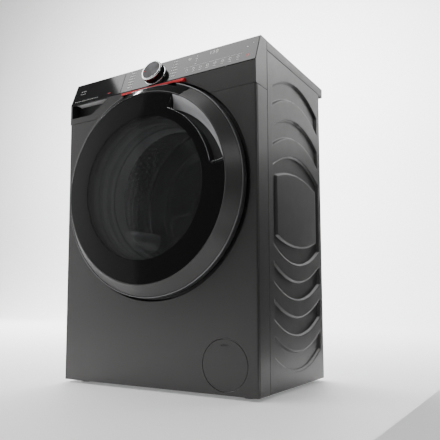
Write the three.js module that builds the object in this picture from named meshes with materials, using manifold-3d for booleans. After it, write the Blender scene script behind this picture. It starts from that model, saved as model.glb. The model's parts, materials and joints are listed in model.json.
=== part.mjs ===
// Front load washing machine, in millimetres: +X to the right, +Y to the back, +Z up.
// The origin is on the floor, under the middle of the machine.
import * as THREE from "three";
import { mergeVertices } from "three/addons/utils/BufferGeometryUtils.js";
import Module from "manifold-3d";

// Driving dimensions
const WIDTH = 597;
const HEIGHT = 850;
const DOOR_REACH = 48; // how far the door stands in front of the front panel
const TOP_BACK = 435; // worktop's rear edge, behind the front panel's face
const BODY_BACK = 405; // rear panel's outer face
const SIDE_FRONT = 59; // where the side panels and the worktop start
const BODY_BOTTOM = 8;
const SEAM_Z = 724; // joint between the front panel and the control fascia
const GLASS_FOOT_Z = 781; // lower edge of the slanted control glass
const GLASS_RUN = 27.5; // how far the slanted glass leans back over its height
const WORKTOP_SKIRT = 27;
const SHEET = 1.5;
const GAP = 0.3;
const AXIS_Z = 502; // height of the door's and the drum's axis
const RIM_R = 274; // door's outer rim
const COVER_R = 240; // dark cover inside the door ring
const RECESS_R = 288; // stamped recess around the door
const RECESS_DEPTH = 12;
const PORT_R = 189; // loading opening in the front panel
const CHORD = 260; // flat top of the door, above its axis
const TUB_R = 266;
const TUB_FRONT = 92;
const TUB_SPLIT = 205;
const TUB_BACK = 346;
const TUB_WALL = 4;
const DRUM_R = 246;
const DRUM_FRONT = 100;
const DRUM_BACK = 306;
const SHAFT_R = 15;
const DRUM_PULLEY_R = 130;
const MOTOR_PULLEY_R = 10.7;
const MOTOR_DROP = 342; // motor axis below the drum axis
const HINGE_X = -262; // door hinge pin
const HINGE_Y = -14;
const DRAWER_EDGE_X = -114; // right edge of the detergent drawer's front
const FILTER_X = 212.5;
const FILTER_Z = 75.5;
const FLAP_R = 60;
const KNOB_X = -2;
const KNOB_UP = 33.5; // knob's axis, up the slope of the control glass
const KNOB_R = 31.3;
const STRUT_X = 165; // springs and dampers, either side of the tub

// Worked out from them
const FRONT_Y = (DOOR_REACH - TOP_BACK) / 2;
const HALF = WIDTH / 2;
const INNER = HALF - SHEET;
const SLOPE = Math.atan2(GLASS_RUN, HEIGHT - GLASS_FOOT_Z);
const SLOPE_LENGTH = Math.hypot(GLASS_RUN, HEIGHT - GLASS_FOOT_Z);
const MOTOR_Z = AXIS_Z - MOTOR_DROP;

// Triangulation: sides of a full circle
const FINE = 44;
const ROUND = 30;
const COARSE = 16;
const SMALL = 10;
const WELD = 1e-3;
const FAR = 2000; // larger than the machine, for cutting tools

const wasm = await Module();
wasm.setup();

// Solids -------------------------------------------------------------------

function manifoldOf(positions, faces) {
  return new wasm.Manifold(
    new wasm.Mesh({ numProp: 3, vertProperties: positions, triVerts: new Uint32Array(faces) }),
  );
}

// A closed three.js geometry as a solid whose faces point outwards.
function solidOf(geometry) {
  const bare = geometry.clone();
  bare.deleteAttribute("normal");
  bare.deleteAttribute("uv");
  const merged = mergeVertices(bare, WELD);
  const corners = merged.index.array;
  const positions = new Float32Array(merged.attributes.position.array);
  const faces = [];
  const flipped = [];
  for (let i = 0; i < corners.length; i += 3) {
    const [a, b, c] = [corners[i], corners[i + 1], corners[i + 2]];
    if (a === b || b === c || c === a) continue;
    faces.push(a, b, c);
    flipped.push(a, c, b);
  }
  const solid = manifoldOf(positions, faces);
  return solid.volume() > 0 ? solid : manifoldOf(positions, flipped);
}

function geometryOf(solid) {
  const mesh = solid.getMesh();
  const geometry = new THREE.BufferGeometry();
  geometry.setAttribute("position", new THREE.BufferAttribute(new Float32Array(mesh.vertProperties), 3));
  geometry.setIndex(new THREE.BufferAttribute(new Uint32Array(mesh.triVerts), 1));
  geometry.computeVertexNormals();
  return geometry;
}

function join(first, ...others) {
  return others.reduce((whole, piece) => whole.add(piece), first);
}

function cut(first, ...tools) {
  return tools.reduce((rest, tool) => rest.subtract(tool), first);
}

function box(x0, x1, y0, y1, z0, z1) {
  const geometry = new THREE.BoxGeometry(x1 - x0, y1 - y0, z1 - z0);
  geometry.translate((x0 + x1) / 2, (y0 + y1) / 2, (z0 + z1) / 2);
  return solidOf(geometry);
}

// Round bars along each axis.
function barX(radius, x0, x1, y, z, sides = SMALL) {
  const geometry = new THREE.CylinderGeometry(radius, radius, x1 - x0, sides);
  geometry.rotateZ(Math.PI / 2);
  geometry.translate((x0 + x1) / 2, y, z);
  return solidOf(geometry);
}

function barY(radius, y0, y1, x = 0, z = 0, sides = SMALL) {
  const geometry = new THREE.CylinderGeometry(radius, radius, y1 - y0, sides);
  geometry.translate(x, (y0 + y1) / 2, z);
  return solidOf(geometry);
}

function barZ(radius, z0, z1, x = 0, y = 0, sides = SMALL) {
  const geometry = new THREE.CylinderGeometry(radius, radius, z1 - z0, sides);
  geometry.rotateX(Math.PI / 2);
  geometry.translate(x, y, (z0 + z1) / 2);
  return solidOf(geometry);
}

// A profile of [radius, y] points spun about the Y axis; it closes on itself or ends on the axis.
function spun(profile, sides = ROUND) {
  const points = profile.map(([r, y]) => new THREE.Vector2(r, y));
  if (profile[0][0] > 0) points.push(points[0].clone());
  return solidOf(new THREE.LatheGeometry(points, sides));
}

// The same about the Z axis, with [radius, z] points.
function turned(profile, sides = SMALL) {
  const points = profile.map(([r, z]) => new THREE.Vector2(r, z));
  if (profile[0][0] > 0) points.push(points[0].clone());
  const geometry = new THREE.LatheGeometry(points, sides);
  geometry.rotateX(Math.PI / 2);
  return solidOf(geometry);
}

function shapeOf(outline) {
  if (outline instanceof THREE.Shape) return outline;
  return new THREE.Shape(outline.map(([u, v]) => new THREE.Vector2(u, v)));
}

function extruded(outline, depth, curveSegments) {
  return new THREE.ExtrudeGeometry(shapeOf(outline), { depth, curveSegments, bevelEnabled: false });
}

// A (y, z) outline drawn out along X.
function prismX(outline, x0, x1, curveSegments = 6) {
  const geometry = extruded(outline, x1 - x0, curveSegments);
  const alongX = new THREE.Matrix4().makeBasis(
    new THREE.Vector3(0, 1, 0),
    new THREE.Vector3(0, 0, 1),
    new THREE.Vector3(1, 0, 0),
  );
  geometry.applyMatrix4(alongX);
  geometry.translate(x0, 0, 0);
  return solidOf(geometry);
}

// An (x, z) outline drawn out along Y.
function prismY(outline, y0, y1, curveSegments = 6) {
  const geometry = extruded(outline, y1 - y0, curveSegments);
  geometry.rotateX(Math.PI / 2);
  geometry.translate(0, y1, 0);
  return solidOf(geometry);
}

// An (x, y) outline drawn out along Z.
function prismZ(outline, z0, z1, curveSegments = 6) {
  const geometry = extruded(outline, z1 - z0, curveSegments);
  geometry.translate(0, 0, z0);
  return solidOf(geometry);
}

// A round section carried along a curve.
function swept(curve, radius, steps, sides) {
  const section = new THREE.Shape();
  for (let i = 0; i < sides; i += 1) {
    const angle = (2 * Math.PI * i) / sides;
    const [u, v] = [radius * Math.cos(angle), radius * Math.sin(angle)];
    if (i === 0) section.moveTo(u, v);
    else section.lineTo(u, v);
  }
  section.closePath();
  return solidOf(
    new THREE.ExtrudeGeometry(section, { extrudePath: curve, steps, bevelEnabled: false }),
  );
}

// A pie slice about the Y axis, from angle a0 to a1 in degrees from +X towards +Z.
function wedge(a0, a1, y0, y1, radius = FAR) {
  const outline = [[0, 0]];
  const steps = Math.max(2, Math.ceil((a1 - a0) / 40));
  for (let i = 0; i <= steps; i += 1) {
    const angle = THREE.MathUtils.degToRad(a0 + ((a1 - a0) * i) / steps);
    outline.push([radius * Math.cos(angle), radius * Math.sin(angle)]);
  }
  return prismY(outline, y0, y1);
}

// Finishes -----------------------------------------------------------------

function finish(color, roughness, metalness) {
  return new THREE.MeshStandardMaterial({ color, roughness, metalness });
}

const graphite = finish(0x4f4e4e, 0.42, 0.55);
const smokedBlack = finish(0x121211, 0.12, 0.1);
const clearGlass = finish(0x5a5f62, 0.05, 0.0);
const accentRed = finish(0xd8222c, 0.35, 0.1);
const blackPlastic = finish(0x1b1b1c, 0.5, 0.0);
const greyPlastic = finish(0x8c8d8f, 0.55, 0.0);
const whitePlastic = finish(0xdcdcda, 0.5, 0.0);
const stainless = finish(0xb9bbbd, 0.28, 0.95);
const chrome = finish(0xd6d8da, 0.1, 1.0);
const zincSteel = finish(0x9a9c9d, 0.45, 0.85);
const castAlloy = finish(0x8e9092, 0.5, 0.8);
const concrete = finish(0x8a8780, 0.9, 0.0);
const greyRubber = finish(0x5b5d60, 0.75, 0.0);
const blackRubber = finish(0x1a1a1a, 0.8, 0.0);

// Scene graph --------------------------------------------------------------

const machine = new THREE.Group();
const cabinet = new THREE.Group(); // y = 0 on the front panel's face
cabinet.position.y = FRONT_Y;
const axis = new THREE.Group(); // z = 0 on the door's and the drum's axis
axis.position.z = AXIS_Z;
const slope = new THREE.Group(); // z runs up the slanted control glass, y into the machine
slope.position.z = GLASS_FOOT_Z;
slope.rotation.x = -SLOPE;
const knob = new THREE.Group(); // y = 0 on the glass, at the knob's axis
knob.position.set(KNOB_X, 0, KNOB_UP);
machine.add(cabinet);
cabinet.add(axis, slope);
slope.add(knob);

function piece(parent, name, material, solid) {
  const mesh = new THREE.Mesh(geometryOf(solid), material);
  mesh.name = name;
  parent.add(mesh);
  return mesh;
}

// Cabinet ------------------------------------------------------------------

const CORNER = 5;

// Plan of the front panel: a wide U with rounded front corners.
function frontPlan() {
  const plan = new THREE.Shape();
  const rear = SIDE_FRONT - GAP;
  plan.moveTo(-HALF, rear);
  plan.lineTo(-HALF, CORNER);
  plan.absarc(-HALF + CORNER, CORNER, CORNER, Math.PI, 1.5 * Math.PI, false);
  plan.absarc(HALF - CORNER, CORNER, CORNER, 1.5 * Math.PI, 2 * Math.PI, false);
  plan.lineTo(HALF, rear);
  plan.lineTo(INNER, rear);
  plan.lineTo(INNER, CORNER);
  plan.absarc(HALF - CORNER, CORNER, CORNER - SHEET, 0, -0.5 * Math.PI, true);
  plan.absarc(-HALF + CORNER, CORNER, CORNER - SHEET, -0.5 * Math.PI, -Math.PI, true);
  plan.lineTo(-INNER, rear);
  plan.closePath();
  return plan;
}

// Stamped floor and wall of the recess around the door, from radius `inside` outwards.
function recessDish(inside) {
  const floor = RECESS_DEPTH;
  return spun(
    [[inside, floor], [inside, floor + SHEET], [RECESS_R + SHEET, floor + SHEET],
      [RECESS_R + SHEET, 0], [RECESS_R, 0], [RECESS_R, floor]],
    FINE,
  );
}

const HOOK_SLOT = [206, 222, -20, 20]; // x and z, from the door's axis

function hookSlot(y0, y1) {
  const [x0, x1, z0, z1] = HOOK_SLOT;
  return box(x0, x1, y0, y1, z0, z1);
}

function frontPanel() {
  const toAxis = (solid) => solid.translate([0, 0, -AXIS_Z]);
  const skin = toAxis(prismZ(frontPlan(), BODY_BOTTOM, SEAM_Z - GAP, 4));
  const opened = cut(skin, barY(RECESS_R + SHEET / 2, -1, 2 * SHEET, 0, 0, FINE));
  const collar = spun(
    [[PORT_R, RECESS_DEPTH], [PORT_R, 24], [PORT_R + SHEET, 24], [PORT_R + SHEET, RECESS_DEPTH]],
    FINE,
  );
  const dish = join(recessDish(PORT_R), collar);
  const aboveSeam = toAxis(box(-FAR, FAR, -FAR, FAR, SEAM_Z - GAP, FAR));
  const flapHole = barY(FLAP_R + 0.8, -1, 2 * SHEET, FILTER_X, FILTER_Z - AXIS_Z, ROUND);
  return cut(join(opened, dish), aboveSeam, flapHole, hookSlot(5, 20));
}
piece(axis, "front_panel", graphite, frontPanel());

// Side section of the fascia, in (y, z): front band, slanted carrier and top flange.
function fasciaSection() {
  const wall = 2;
  const under = 3 + GAP; // carrier's face below the glass
  const into = (s, depth) => [
    s * Math.sin(SLOPE) + depth * Math.cos(SLOPE),
    GLASS_FOOT_Z + s * Math.cos(SLOPE) - depth * Math.sin(SLOPE),
  ];
  const top = HEIGHT - GAP;
  const back = SIDE_FRONT - GAP;
  return [[0, SEAM_Z], [0, GLASS_FOOT_Z - 1.4], into(0, under), into(SLOPE_LENGTH - 1, under), [31, top],
    [back, top], [back, top - wall], [33, top - wall], into(0, under + wall), [wall, GLASS_FOOT_Z - 4],
    [wall, SEAM_Z]];
}

// Grip pocket under the drawer: its floor rises along the door's surround.
const GRIP = [[-291, 741], [-222, 741], [-161, 774], [-161, 779], [-291, 779]];
const GRIP_DEPTH = 28;

function gripLiner() {
  const grow = 1.5;
  const [left, right] = [GRIP[0][0] - grow, GRIP[2][0] + 2 * grow];
  const outer = [[left, GRIP[0][1] - grow], [GRIP[1][0] + grow, GRIP[1][1] - grow],
    [right, GRIP[2][1] - grow], [right, GLASS_FOOT_Z - 1.4], [left, GLASS_FOOT_Z - 1.4]];
  return prismY(outer, 0.5, GRIP_DEPTH + grow);
}

function controlFascia() {
  const body = prismX(fasciaSection(), -INNER - 0.5, INNER + 0.5);
  const step = 0.1; // the cheeks sit this far inside the body's faces
  const [foot, top, back] = [SEAM_Z + step, HEIGHT - GAP - step, SIDE_FRONT - GAP - step];
  const cheekOutline = [[step, foot], [step, GLASS_FOOT_Z], [GLASS_RUN, top], [back, top], [back, foot]];
  const cheeks = [-HALF, INNER].map((x) => prismX(cheekOutline, x, x + SHEET));
  const ceiling = AXIS_Z + CHORD + 4;
  const chordHalf = Math.sqrt(RECESS_R ** 2 - (ceiling - AXIS_Z) ** 2);
  const overDoor = box(-FAR, FAR, -FAR, FAR, SEAM_Z, ceiling);
  const hole = barY(RECESS_R, -1, 5, 0, AXIS_Z, FINE).intersect(overDoor);
  const dish = recessDish(PORT_R).translate([0, 0, AXIS_Z]).intersect(overDoor);
  const roof = box(-chordHalf - 2, chordHalf + 2, 0.2, RECESS_DEPTH + SHEET, ceiling - 0.5, ceiling + SHEET);
  const drawerHole = box(-INNER + 5, DRAWER_EDGE_X - 4, -5, 32, GLASS_FOOT_Z - 0.5, HEIGHT - 2.6);
  const knobHole = barY(5.5, -5, 20, KNOB_X, 0)
    .rotate([THREE.MathUtils.radToDeg(-SLOPE), 0, 0])
    .translate([0, KNOB_UP * Math.sin(SLOPE), GLASS_FOOT_Z + KNOB_UP * Math.cos(SLOPE)]);
  const shell = cut(join(body, ...cheeks), hole);
  const lined = join(shell, dish, roof, gripLiner());
  return cut(lined, prismY(GRIP, -5, GRIP_DEPTH), drawerHole, knobHole);
}
piece(cabinet, "control_fascia", graphite, controlFascia());

function touchGlass() {
  const slab = box(DRAWER_EDGE_X + 0.4, INNER - GAP, 0, 3, 0.8, SLOPE_LENGTH - 0.8);
  return cut(slab, barY(5, -1, 4, KNOB_X, KNOB_UP));
}
piece(slope, "touch_glass", smokedBlack, touchGlass());

function accentStrip() {
  const [foot, top] = [AXIS_Z + CHORD + 6, GLASS_FOOT_Z - 5.5];
  return prismY([[-100, foot], [100, foot], [103, top], [-103, top]], -8, -GAP);
}
piece(cabinet, "accent_strip", accentRed, accentStrip());

function controlModule() {
  const board = box(-95, 285, 8.7, 11, 6, 62);
  const housing = box(-90, 280, 11, 26, 9, 58);
  return join(board, housing);
}
piece(slope, "control_module", blackPlastic, controlModule());

// Pressed bands of a side panel -------------------------------------------

const BAND = 50; // height of a band
const BAND_ARCH = 46;
const BAND_Y = [86, 382];
const PRESS = 4;
const TOP_BANDS = [791, 691]; // crown of each band's upper edge, arching up
const LOW_BANDS = [222, 132, 44]; // lowest point of each band's lower edge, bulging down
const RING_TOP = 595;
const RING_FOOT = 312;

// An outline in (y, z) between two arcs of the same bow, from y0 to y1.
function bowed(y0, y1, foot, top, bowFoot, bowTop, inset) {
  const [left, right] = [y0 + inset, y1 - inset];
  const middle = (left + right) / 2;
  const shape = new THREE.Shape();
  shape.moveTo(left, foot - bowFoot + inset);
  shape.quadraticCurveTo(middle, foot + bowFoot + inset, right, foot - bowFoot + inset);
  shape.lineTo(right, top - bowTop - inset);
  shape.quadraticCurveTo(middle, top + bowTop - inset, left, top - bowTop - inset);
  shape.closePath();
  return shape;
}

function pressedBands(inset, x0, x1) {
  const [y0, y1] = BAND_Y;
  const arcs = 6;
  const up = TOP_BANDS.map((crown) =>
    prismX(bowed(y0, y1, crown - BAND, crown, BAND_ARCH, BAND_ARCH, inset), x0, x1, arcs));
  const down = LOW_BANDS.map((low) =>
    prismX(bowed(y0, y1, low, low + BAND, -BAND_ARCH, -BAND_ARCH, inset), x0, x1, arcs));
  const around = prismX(bowed(y0, y1, RING_FOOT, RING_TOP, -BAND_ARCH, BAND_ARCH, inset), x0, x1, arcs);
  const centre = prismX(
    bowed(y0 + 24, y1 - 24, RING_FOOT + BAND, RING_TOP - BAND, -30, 30, -inset), x0 - 1, x1 + 1, arcs);
  return [...up, ...down, cut(around, centre)];
}

function sidePanel(side) {
  const [low, high] = [BODY_BOTTOM + GAP, HEIGHT - WORKTOP_SKIRT - GAP];
  const sheet = box(INNER, HALF, SIDE_FRONT, BODY_BACK, low, high);
  const frontFlange = box(INNER - 5, HALF, SIDE_FRONT, SIDE_FRONT + SHEET, low, high);
  const rearFlange = box(INNER - 12, HALF, BODY_BACK - 2 * SHEET - GAP, BODY_BACK - SHEET - GAP, low, high);
  const bosses = pressedBands(0, INNER - PRESS, INNER + 0.2);
  const hollows = pressedBands(SHEET, HALF - PRESS, HALF + 5);
  const right = cut(join(sheet, frontFlange, rearFlange, ...bosses), ...hollows);
  return side > 0 ? right : right.mirror([1, 0, 0]);
}
piece(cabinet, "side_panel_right", graphite, sidePanel(1));
piece(cabinet, "side_panel_left", graphite, sidePanel(-1));

const INLET = [-235, 775]; // x and z of the water inlet
const DRAIN = [232, 770];
const GLAND = [232, 690];

function rearPanel() {
  const plate = box(-INNER + GAP, INNER - GAP, BODY_BACK - SHEET, BODY_BACK, BODY_BOTTOM + 1, 822);
  const rib = (z) => box(-120, 120, BODY_BACK - SHEET, BODY_BACK + 3, z, z + 8);
  const hole = (radius, [x, z]) => barY(radius, BODY_BACK - 9, BODY_BACK + 9, x, z);
  const stamped = join(plate, rib(300), rib(640));
  return cut(stamped, hole(14, INLET), hole(14, DRAIN), hole(9, GLAND));
}
piece(cabinet, "rear_panel", zincSteel, rearPanel());

function worktop() {
  const foot = HEIGHT - WORKTOP_SKIRT;
  const block = box(-HALF, HALF, SIDE_FRONT, TOP_BACK, foot, HEIGHT);
  return cut(block, box(-HALF + 3, HALF - 3, SIDE_FRONT - 5, TOP_BACK - 3, foot - 5, HEIGHT - 4));
}
piece(cabinet, "worktop", graphite, worktop());

function rearBracket() {
  const top = HEIGHT - WORKTOP_SKIRT - GAP;
  const upright = box(258, 290, BODY_BACK + GAP, BODY_BACK + 3, top - 26, top);
  const ledge = box(258, 290, BODY_BACK + GAP, BODY_BACK + 24, top - 3, top);
  return join(upright, ledge);
}
piece(cabinet, "rear_bracket", blackPlastic, rearBracket());

const FOOT_X = 255;
const FOOT_Y = [52, 358];

function basePan() {
  const low = BODY_BOTTOM + GAP;
  const outer = box(-INNER + 6, INNER - 6, 3, BODY_BACK - 4, low, 40);
  const pan = cut(outer, box(-INNER + 8, INNER - 8, 5, BODY_BACK - 6, low + 2, 60));
  const studHoles = FOOT_Y.flatMap((y) => [-FOOT_X, FOOT_X].map((x) => barZ(6, 0, 20, x, y)));
  return cut(pan, ...studHoles);
}
piece(cabinet, "base_pan", zincSteel, basePan());

function foot() {
  return turned([[0, 0], [20, 0], [20, 4], [16, 7.5], [5, 7.5], [5, 30], [0, 30]], 16);
}
const FOOT_PLACES = { front: FOOT_Y[0], rear: FOOT_Y[1] };
for (const [row, y] of Object.entries(FOOT_PLACES)) {
  for (const [side, x] of Object.entries({ left: -FOOT_X, right: FOOT_X })) {
    const mesh = piece(cabinet, `foot_${row}_${side}`, blackRubber, foot());
    mesh.position.set(x, y, 0);
  }
}

const BRACE_Y = [316, 344];
const BRACE_Z = 800;

function topBrace() {
  const plate = box(-INNER + 0.5, INNER - 0.5, BRACE_Y[0], BRACE_Y[1], BRACE_Z, BRACE_Z + 2);
  return join(plate, box(-INNER + 0.5, INNER - 0.5, BRACE_Y[1] - 2, BRACE_Y[1], BRACE_Z, BRACE_Z + 20));
}
piece(cabinet, "top_brace", zincSteel, topBrace());

// Water in and out ---------------------------------------------------------

const HOUSING = { x: [-290, -118], y: [34, 290], z: [776.5, 842] };

function dispenserHousing() {
  const { x, y, z } = HOUSING;
  const wall = 2;
  const outer = box(x[0], x[1], y[0], y[1], z[0], z[1]);
  return cut(outer, box(x[0] + wall, x[1] - wall, y[0] - 5, y[1] - wall, z[0] + wall, z[1] - wall));
}
piece(cabinet, "dispenser_housing", whitePlastic, dispenserHousing());

function inletValve() {
  const [x, z] = INLET;
  const body = box(x - 26, x + 26, 345, BODY_BACK - 3, z - 24, z + 24);
  const port = barY(13, BODY_BACK - 5, BODY_BACK + 15, x, z, COARSE);
  return cut(join(body, port), barY(8, BODY_BACK + 12, BODY_BACK + 20, x, z));
}
piece(cabinet, "inlet_valve", whitePlastic, inletValve());

function rearSpout([x, z], radius, reach) {
  const flange = barY(radius + 8, BODY_BACK - 8, BODY_BACK - 3, x, z, COARSE);
  return join(flange, barY(radius, BODY_BACK - 4, BODY_BACK + reach, x, z, COARSE));
}
piece(cabinet, "drain_outlet", blackPlastic, rearSpout(DRAIN, 12, 22));
piece(cabinet, "cable_gland", blackPlastic, rearSpout(GLAND, 7.5, 12));

function filterHousing() {
  const tube = spun([[25, 18], [34, 18], [34, 22], [31, 24], [31, 118], [0, 118], [0, 112], [25, 112]], COARSE);
  const spout = barZ(11, 28, 48, 0, 90);
  return cut(join(tube, spout), barY(25, 17, 112, 0, 0, COARSE)).translate([FILTER_X, 0, FILTER_Z]);
}
piece(cabinet, "filter_housing", greyPlastic, filterHousing());

function drainPump() {
  const profile = [[0, 118.5], [34, 118.5], [34, 134], [24, 136], [24, 176], [0, 176]];
  return spun(profile, COARSE).translate([FILTER_X, 0, FILTER_Z]);
}
piece(cabinet, "drain_pump", blackPlastic, drainPump());

function filterCap() {
  const plug = spun([[0, 8], [29, 8], [29, 16.5], [24, 16.5], [24, 60], [0, 60]], COARSE);
  return join(plug, box(-24, 24, 3.5, 10, -5, 5)).translate([FILTER_X, 0, FILTER_Z]);
}
piece(cabinet, "filter_cap", greyPlastic, filterCap());

function filterFlap() {
  const disc = barY(FLAP_R, 0, 1.8, FILTER_X, FILTER_Z, ROUND);
  const slotZ = FILTER_Z + 44;
  return cut(disc, box(FILTER_X - 13, FILTER_X + 10, -1, 5, slotZ, slotZ + 3.5));
}
piece(cabinet, "filter_flap", graphite, filterFlap());

function sumpHose() {
  const route = new THREE.CatmullRomCurve3([
    new THREE.Vector3(FILTER_X, 90, FILTER_Z + 48 + GAP),
    new THREE.Vector3(FILTER_X, 90, FILTER_Z + 66),
    new THREE.Vector3(FILTER_X - 10, 96, 165),
    new THREE.Vector3(FILTER_X - 40, 120, 190),
    new THREE.Vector3(112, 148, 215),
    new THREE.Vector3(104, 152, AXIS_Z - Math.sqrt(TUB_R ** 2 - 104 ** 2) - 6),
  ]);
  return swept(route, 13, 14, 10);
}
piece(cabinet, "sump_hose", blackRubber, sumpHose());

// Detergent drawer ---------------------------------------------------------

const TRAY = { x: [-286, -122], y: [6, 262], z: [782, 830] };
const DIVIDERS = [-234, -180];
const TRAY_WALL = 2;

function drawerFront() {
  return box(-INNER + GAP, DRAWER_EDGE_X - 0.4, 0, 3, 0.8, SLOPE_LENGTH - 0.8);
}
piece(slope, "drawer_front", smokedBlack, drawerFront());

function drawerTray() {
  const { x, y, z } = TRAY;
  const behindGlass = box(-FAR, FAR, 3 + GAP, FAR, -FAR, FAR)
    .rotate([THREE.MathUtils.radToDeg(-SLOPE), 0, 0])
    .translate([0, 0, GLASS_FOOT_Z]);
  const walls = [x[0], ...DIVIDERS, x[1]];
  const bays = walls.slice(1).map((right, i) => box(walls[i] + TRAY_WALL, right - TRAY_WALL,
    36, y[1] - TRAY_WALL, z[0] + TRAY_WALL, z[1] + 5));
  const tray = box(x[0], x[1], y[0], y[1], z[0], z[1]).intersect(behindGlass);
  return cut(tray, ...bays);
}
piece(cabinet, "drawer_tray", whitePlastic, drawerTray());

// Knob, spun about the slope's normal --------------------------------------

piece(knob, "knob_body", blackPlastic, spun([[0, 8], [3.6, 8], [3.6, -0.4], [32.3, -0.4], [32.3, -2],
  [31, -3.2], [31, -17], [0, -17]], ROUND));
piece(knob, "knob_ring", chrome, spun([[26.6, -17.3], [KNOB_R, -17.3], [KNOB_R, -19.5], [28.4, -22],
  [26.6, -21.4]], ROUND));
piece(knob, "knob_cap", castAlloy, spun([[0, -17.3], [26.2, -17.3], [26.2, -20.6], [0, -21.2]], ROUND));

// Door ---------------------------------------------------------------------

const RING_GAP = [62, 141.5]; // degrees: the cover takes the ring's place across the top
const POCKET = [9, 68]; // degrees: finger pocket beside the ring
const POCKET_R = 205;
const HINGE_HALF = 47; // hinge's half height
const NOTCH_X = -232;
const CHORD_TOP = () => box(-FAR, FAR, -FAR, FAR, CHORD, FAR);
const hingeNotch = (y0) => box(-FAR, NOTCH_X, y0, 20, -HINGE_HALF, HINGE_HALF);

// The door ring's section: rim, outward sloping bevel and inner wall.
const BEVEL = [[271.5, -2], [RIM_R, -2], [RIM_R, -15.5], [243, -45.5], [COVER_R + 0.5, -45],
  [COVER_R + 0.5, -26], [243, -26], [243, -42], [271.5, -14.5]];

function doorRing() {
  const ring = spun(BEVEL, FINE);
  return cut(ring, wedge(RING_GAP[0], RING_GAP[1], -60, 10), CHORD_TOP(), hingeNotch(-22));
}
piece(axis, "door_ring", graphite, doorRing());

function doorCover() {
  const dish = spun([[0, -48], [120, -47.5], [200, -46.5], [COVER_R, -45.2], [COVER_R, -42.2],
    [200, -43.5], [120, -44.5], [0, -45]], FINE);
  const crest = spun([[271.5, -2], [RIM_R, -2], [RIM_R, -15.5], [243, -45.5], [238, -45.2], [238, -42.2],
    [243, -42], [271.5, -14.5]], FINE);
  const upper = crest.intersect(wedge(RING_GAP[0] + 0.4, RING_GAP[1] - 0.4, -60, 10));
  const chordWall = box(-82, 82, -24, -2, CHORD - 4, CHORD - 1);
  const cup = spun([[POCKET_R, -46], [POCKET_R, -20], [COVER_R, -20], [COVER_R, -22], [POCKET_R + 2, -22],
    [POCKET_R + 2, -46]], FINE).intersect(wedge(...POCKET, -60, 10));
  const ends = spun([[POCKET_R, -45], [COVER_R, -45], [COVER_R, -20], [POCKET_R, -20]], FINE);
  const ends0 = ends.intersect(wedge(POCKET[0], POCKET[0] + 0.6, -60, 10));
  const ends1 = ends.intersect(wedge(POCKET[1] - 0.6, POCKET[1], -60, 10));
  const mouth = spun([[POCKET_R + 2, -60], [FAR, -60], [FAR, -22], [POCKET_R + 2, -22]], FINE)
    .intersect(wedge(POCKET[0] + 0.6, POCKET[1] - 0.6, -60, 10))
    .intersect(barY(COVER_R + 1, -60, 10, 0, 0, FINE));
  const whole = join(dish, upper, chordWall, cup, ends0, ends1);
  return cut(whole, mouth, box(-FAR, FAR, -FAR, FAR, CHORD - 0.5, FAR));
}
piece(axis, "door_cover", smokedBlack, doorCover());

function doorFrame() {
  const ring = spun([[186.5, -16.3], [262, -13.5], [266, -9], [262, -3], [198, -2], [186.5, 3]], FINE);
  const hookHole = box(HOOK_SLOT[0], HOOK_SLOT[1], -60, 60, -14, 14);
  return cut(ring, hookHole, hingeNotch(-60), box(-FAR, FAR, -FAR, FAR, CHORD - 5, FAR));
}
piece(axis, "door_frame", blackPlastic, doorFrame());

function doorGlass() {
  return spun([[0, 60], [130, 56], [160, 40], [174, 4], [183, -16.6], [194, -16.6], [194, -19.8], [177, -19.8],
    [169, 2], [156, 37], [127, 51.5], [0, 55.5]], FINE);
}
piece(axis, "door_glass", clearGlass, doorGlass());

const KNUCKLE_R = 6;
const PIN_R = 2.5;
const PIN_HOLE_R = 2.8;
const EAR = [30, 42]; // ears' z, either side of the middle

function hingeBracket() {
  const seat = RECESS_DEPTH - GAP;
  const plate = box(-272, NOTCH_X - 3, seat - 2, seat, -HINGE_HALF + 2, HINGE_HALF - 2);
  const neck = [[HINGE_X - 2, HINGE_Y - 4], [HINGE_X + 4, HINGE_Y - 4], [NOTCH_X - 3, seat - 2],
    [NOTCH_X - 3, seat], [NOTCH_X - 17, seat]];
  const ear = (low, high) => join(
    barZ(KNUCKLE_R, low, high, HINGE_X, HINGE_Y, 16), prismZ(neck, low, high));
  const both = join(plate, ear(EAR[0], EAR[1]), ear(-EAR[1], -EAR[0]));
  return cut(both, barZ(PIN_HOLE_R, -60, 60, HINGE_X, HINGE_Y, 16));
}
piece(axis, "hinge_bracket", zincSteel, hingeBracket());

function hingePin() {
  const shank = barZ(PIN_R, -EAR[1] - 3, EAR[1] + 3, HINGE_X, HINGE_Y, 16);
  return join(shank, barZ(4.5, EAR[1] + GAP, EAR[1] + 3, HINGE_X, HINGE_Y, 16));
}
piece(axis, "hinge_pin", stainless, hingePin());

function hingeArm() {
  const reach = EAR[0] - GAP;
  const knuckle = barZ(KNUCKLE_R, -reach, reach, HINGE_X, HINGE_Y, 16);
  const leaf = box(HINGE_X, -214, -19.5, -16.5, -reach, reach);
  return cut(join(knuckle, leaf), barZ(PIN_HOLE_R, -60, 60, HINGE_X, HINGE_Y, 16));
}
piece(axis, "hinge_arm", zincSteel, hingeArm());

const HOOK_X = [210, 218];
const HOOK_PIVOT_Y = -8;

function doorHook() {
  const shank = box(HOOK_X[0], HOOK_X[1], HOOK_PIVOT_Y - 4, 26, -6, 6);
  const nose = prismX([[18, -6], [18, -12], [22, -12], [26, -6]], HOOK_X[0], HOOK_X[1]);
  return join(shank, nose);
}
piece(axis, "door_hook", zincSteel, doorHook());

function doorLock() {
  const [x0, x1, z0, z1] = HOOK_SLOT;
  return cut(box(x0 - 4, x1 + 12, 14, 46, z0 - 14, z1 + 14), box(x0, x1, 10, 36, z0, z1));
}
piece(axis, "door_lock", blackPlastic, doorLock());

// Tub ----------------------------------------------------------------------

const TUB_IN = TUB_R - TUB_WALL;
const NECK = [176, 181];
const FLANGE = 6;

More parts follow.
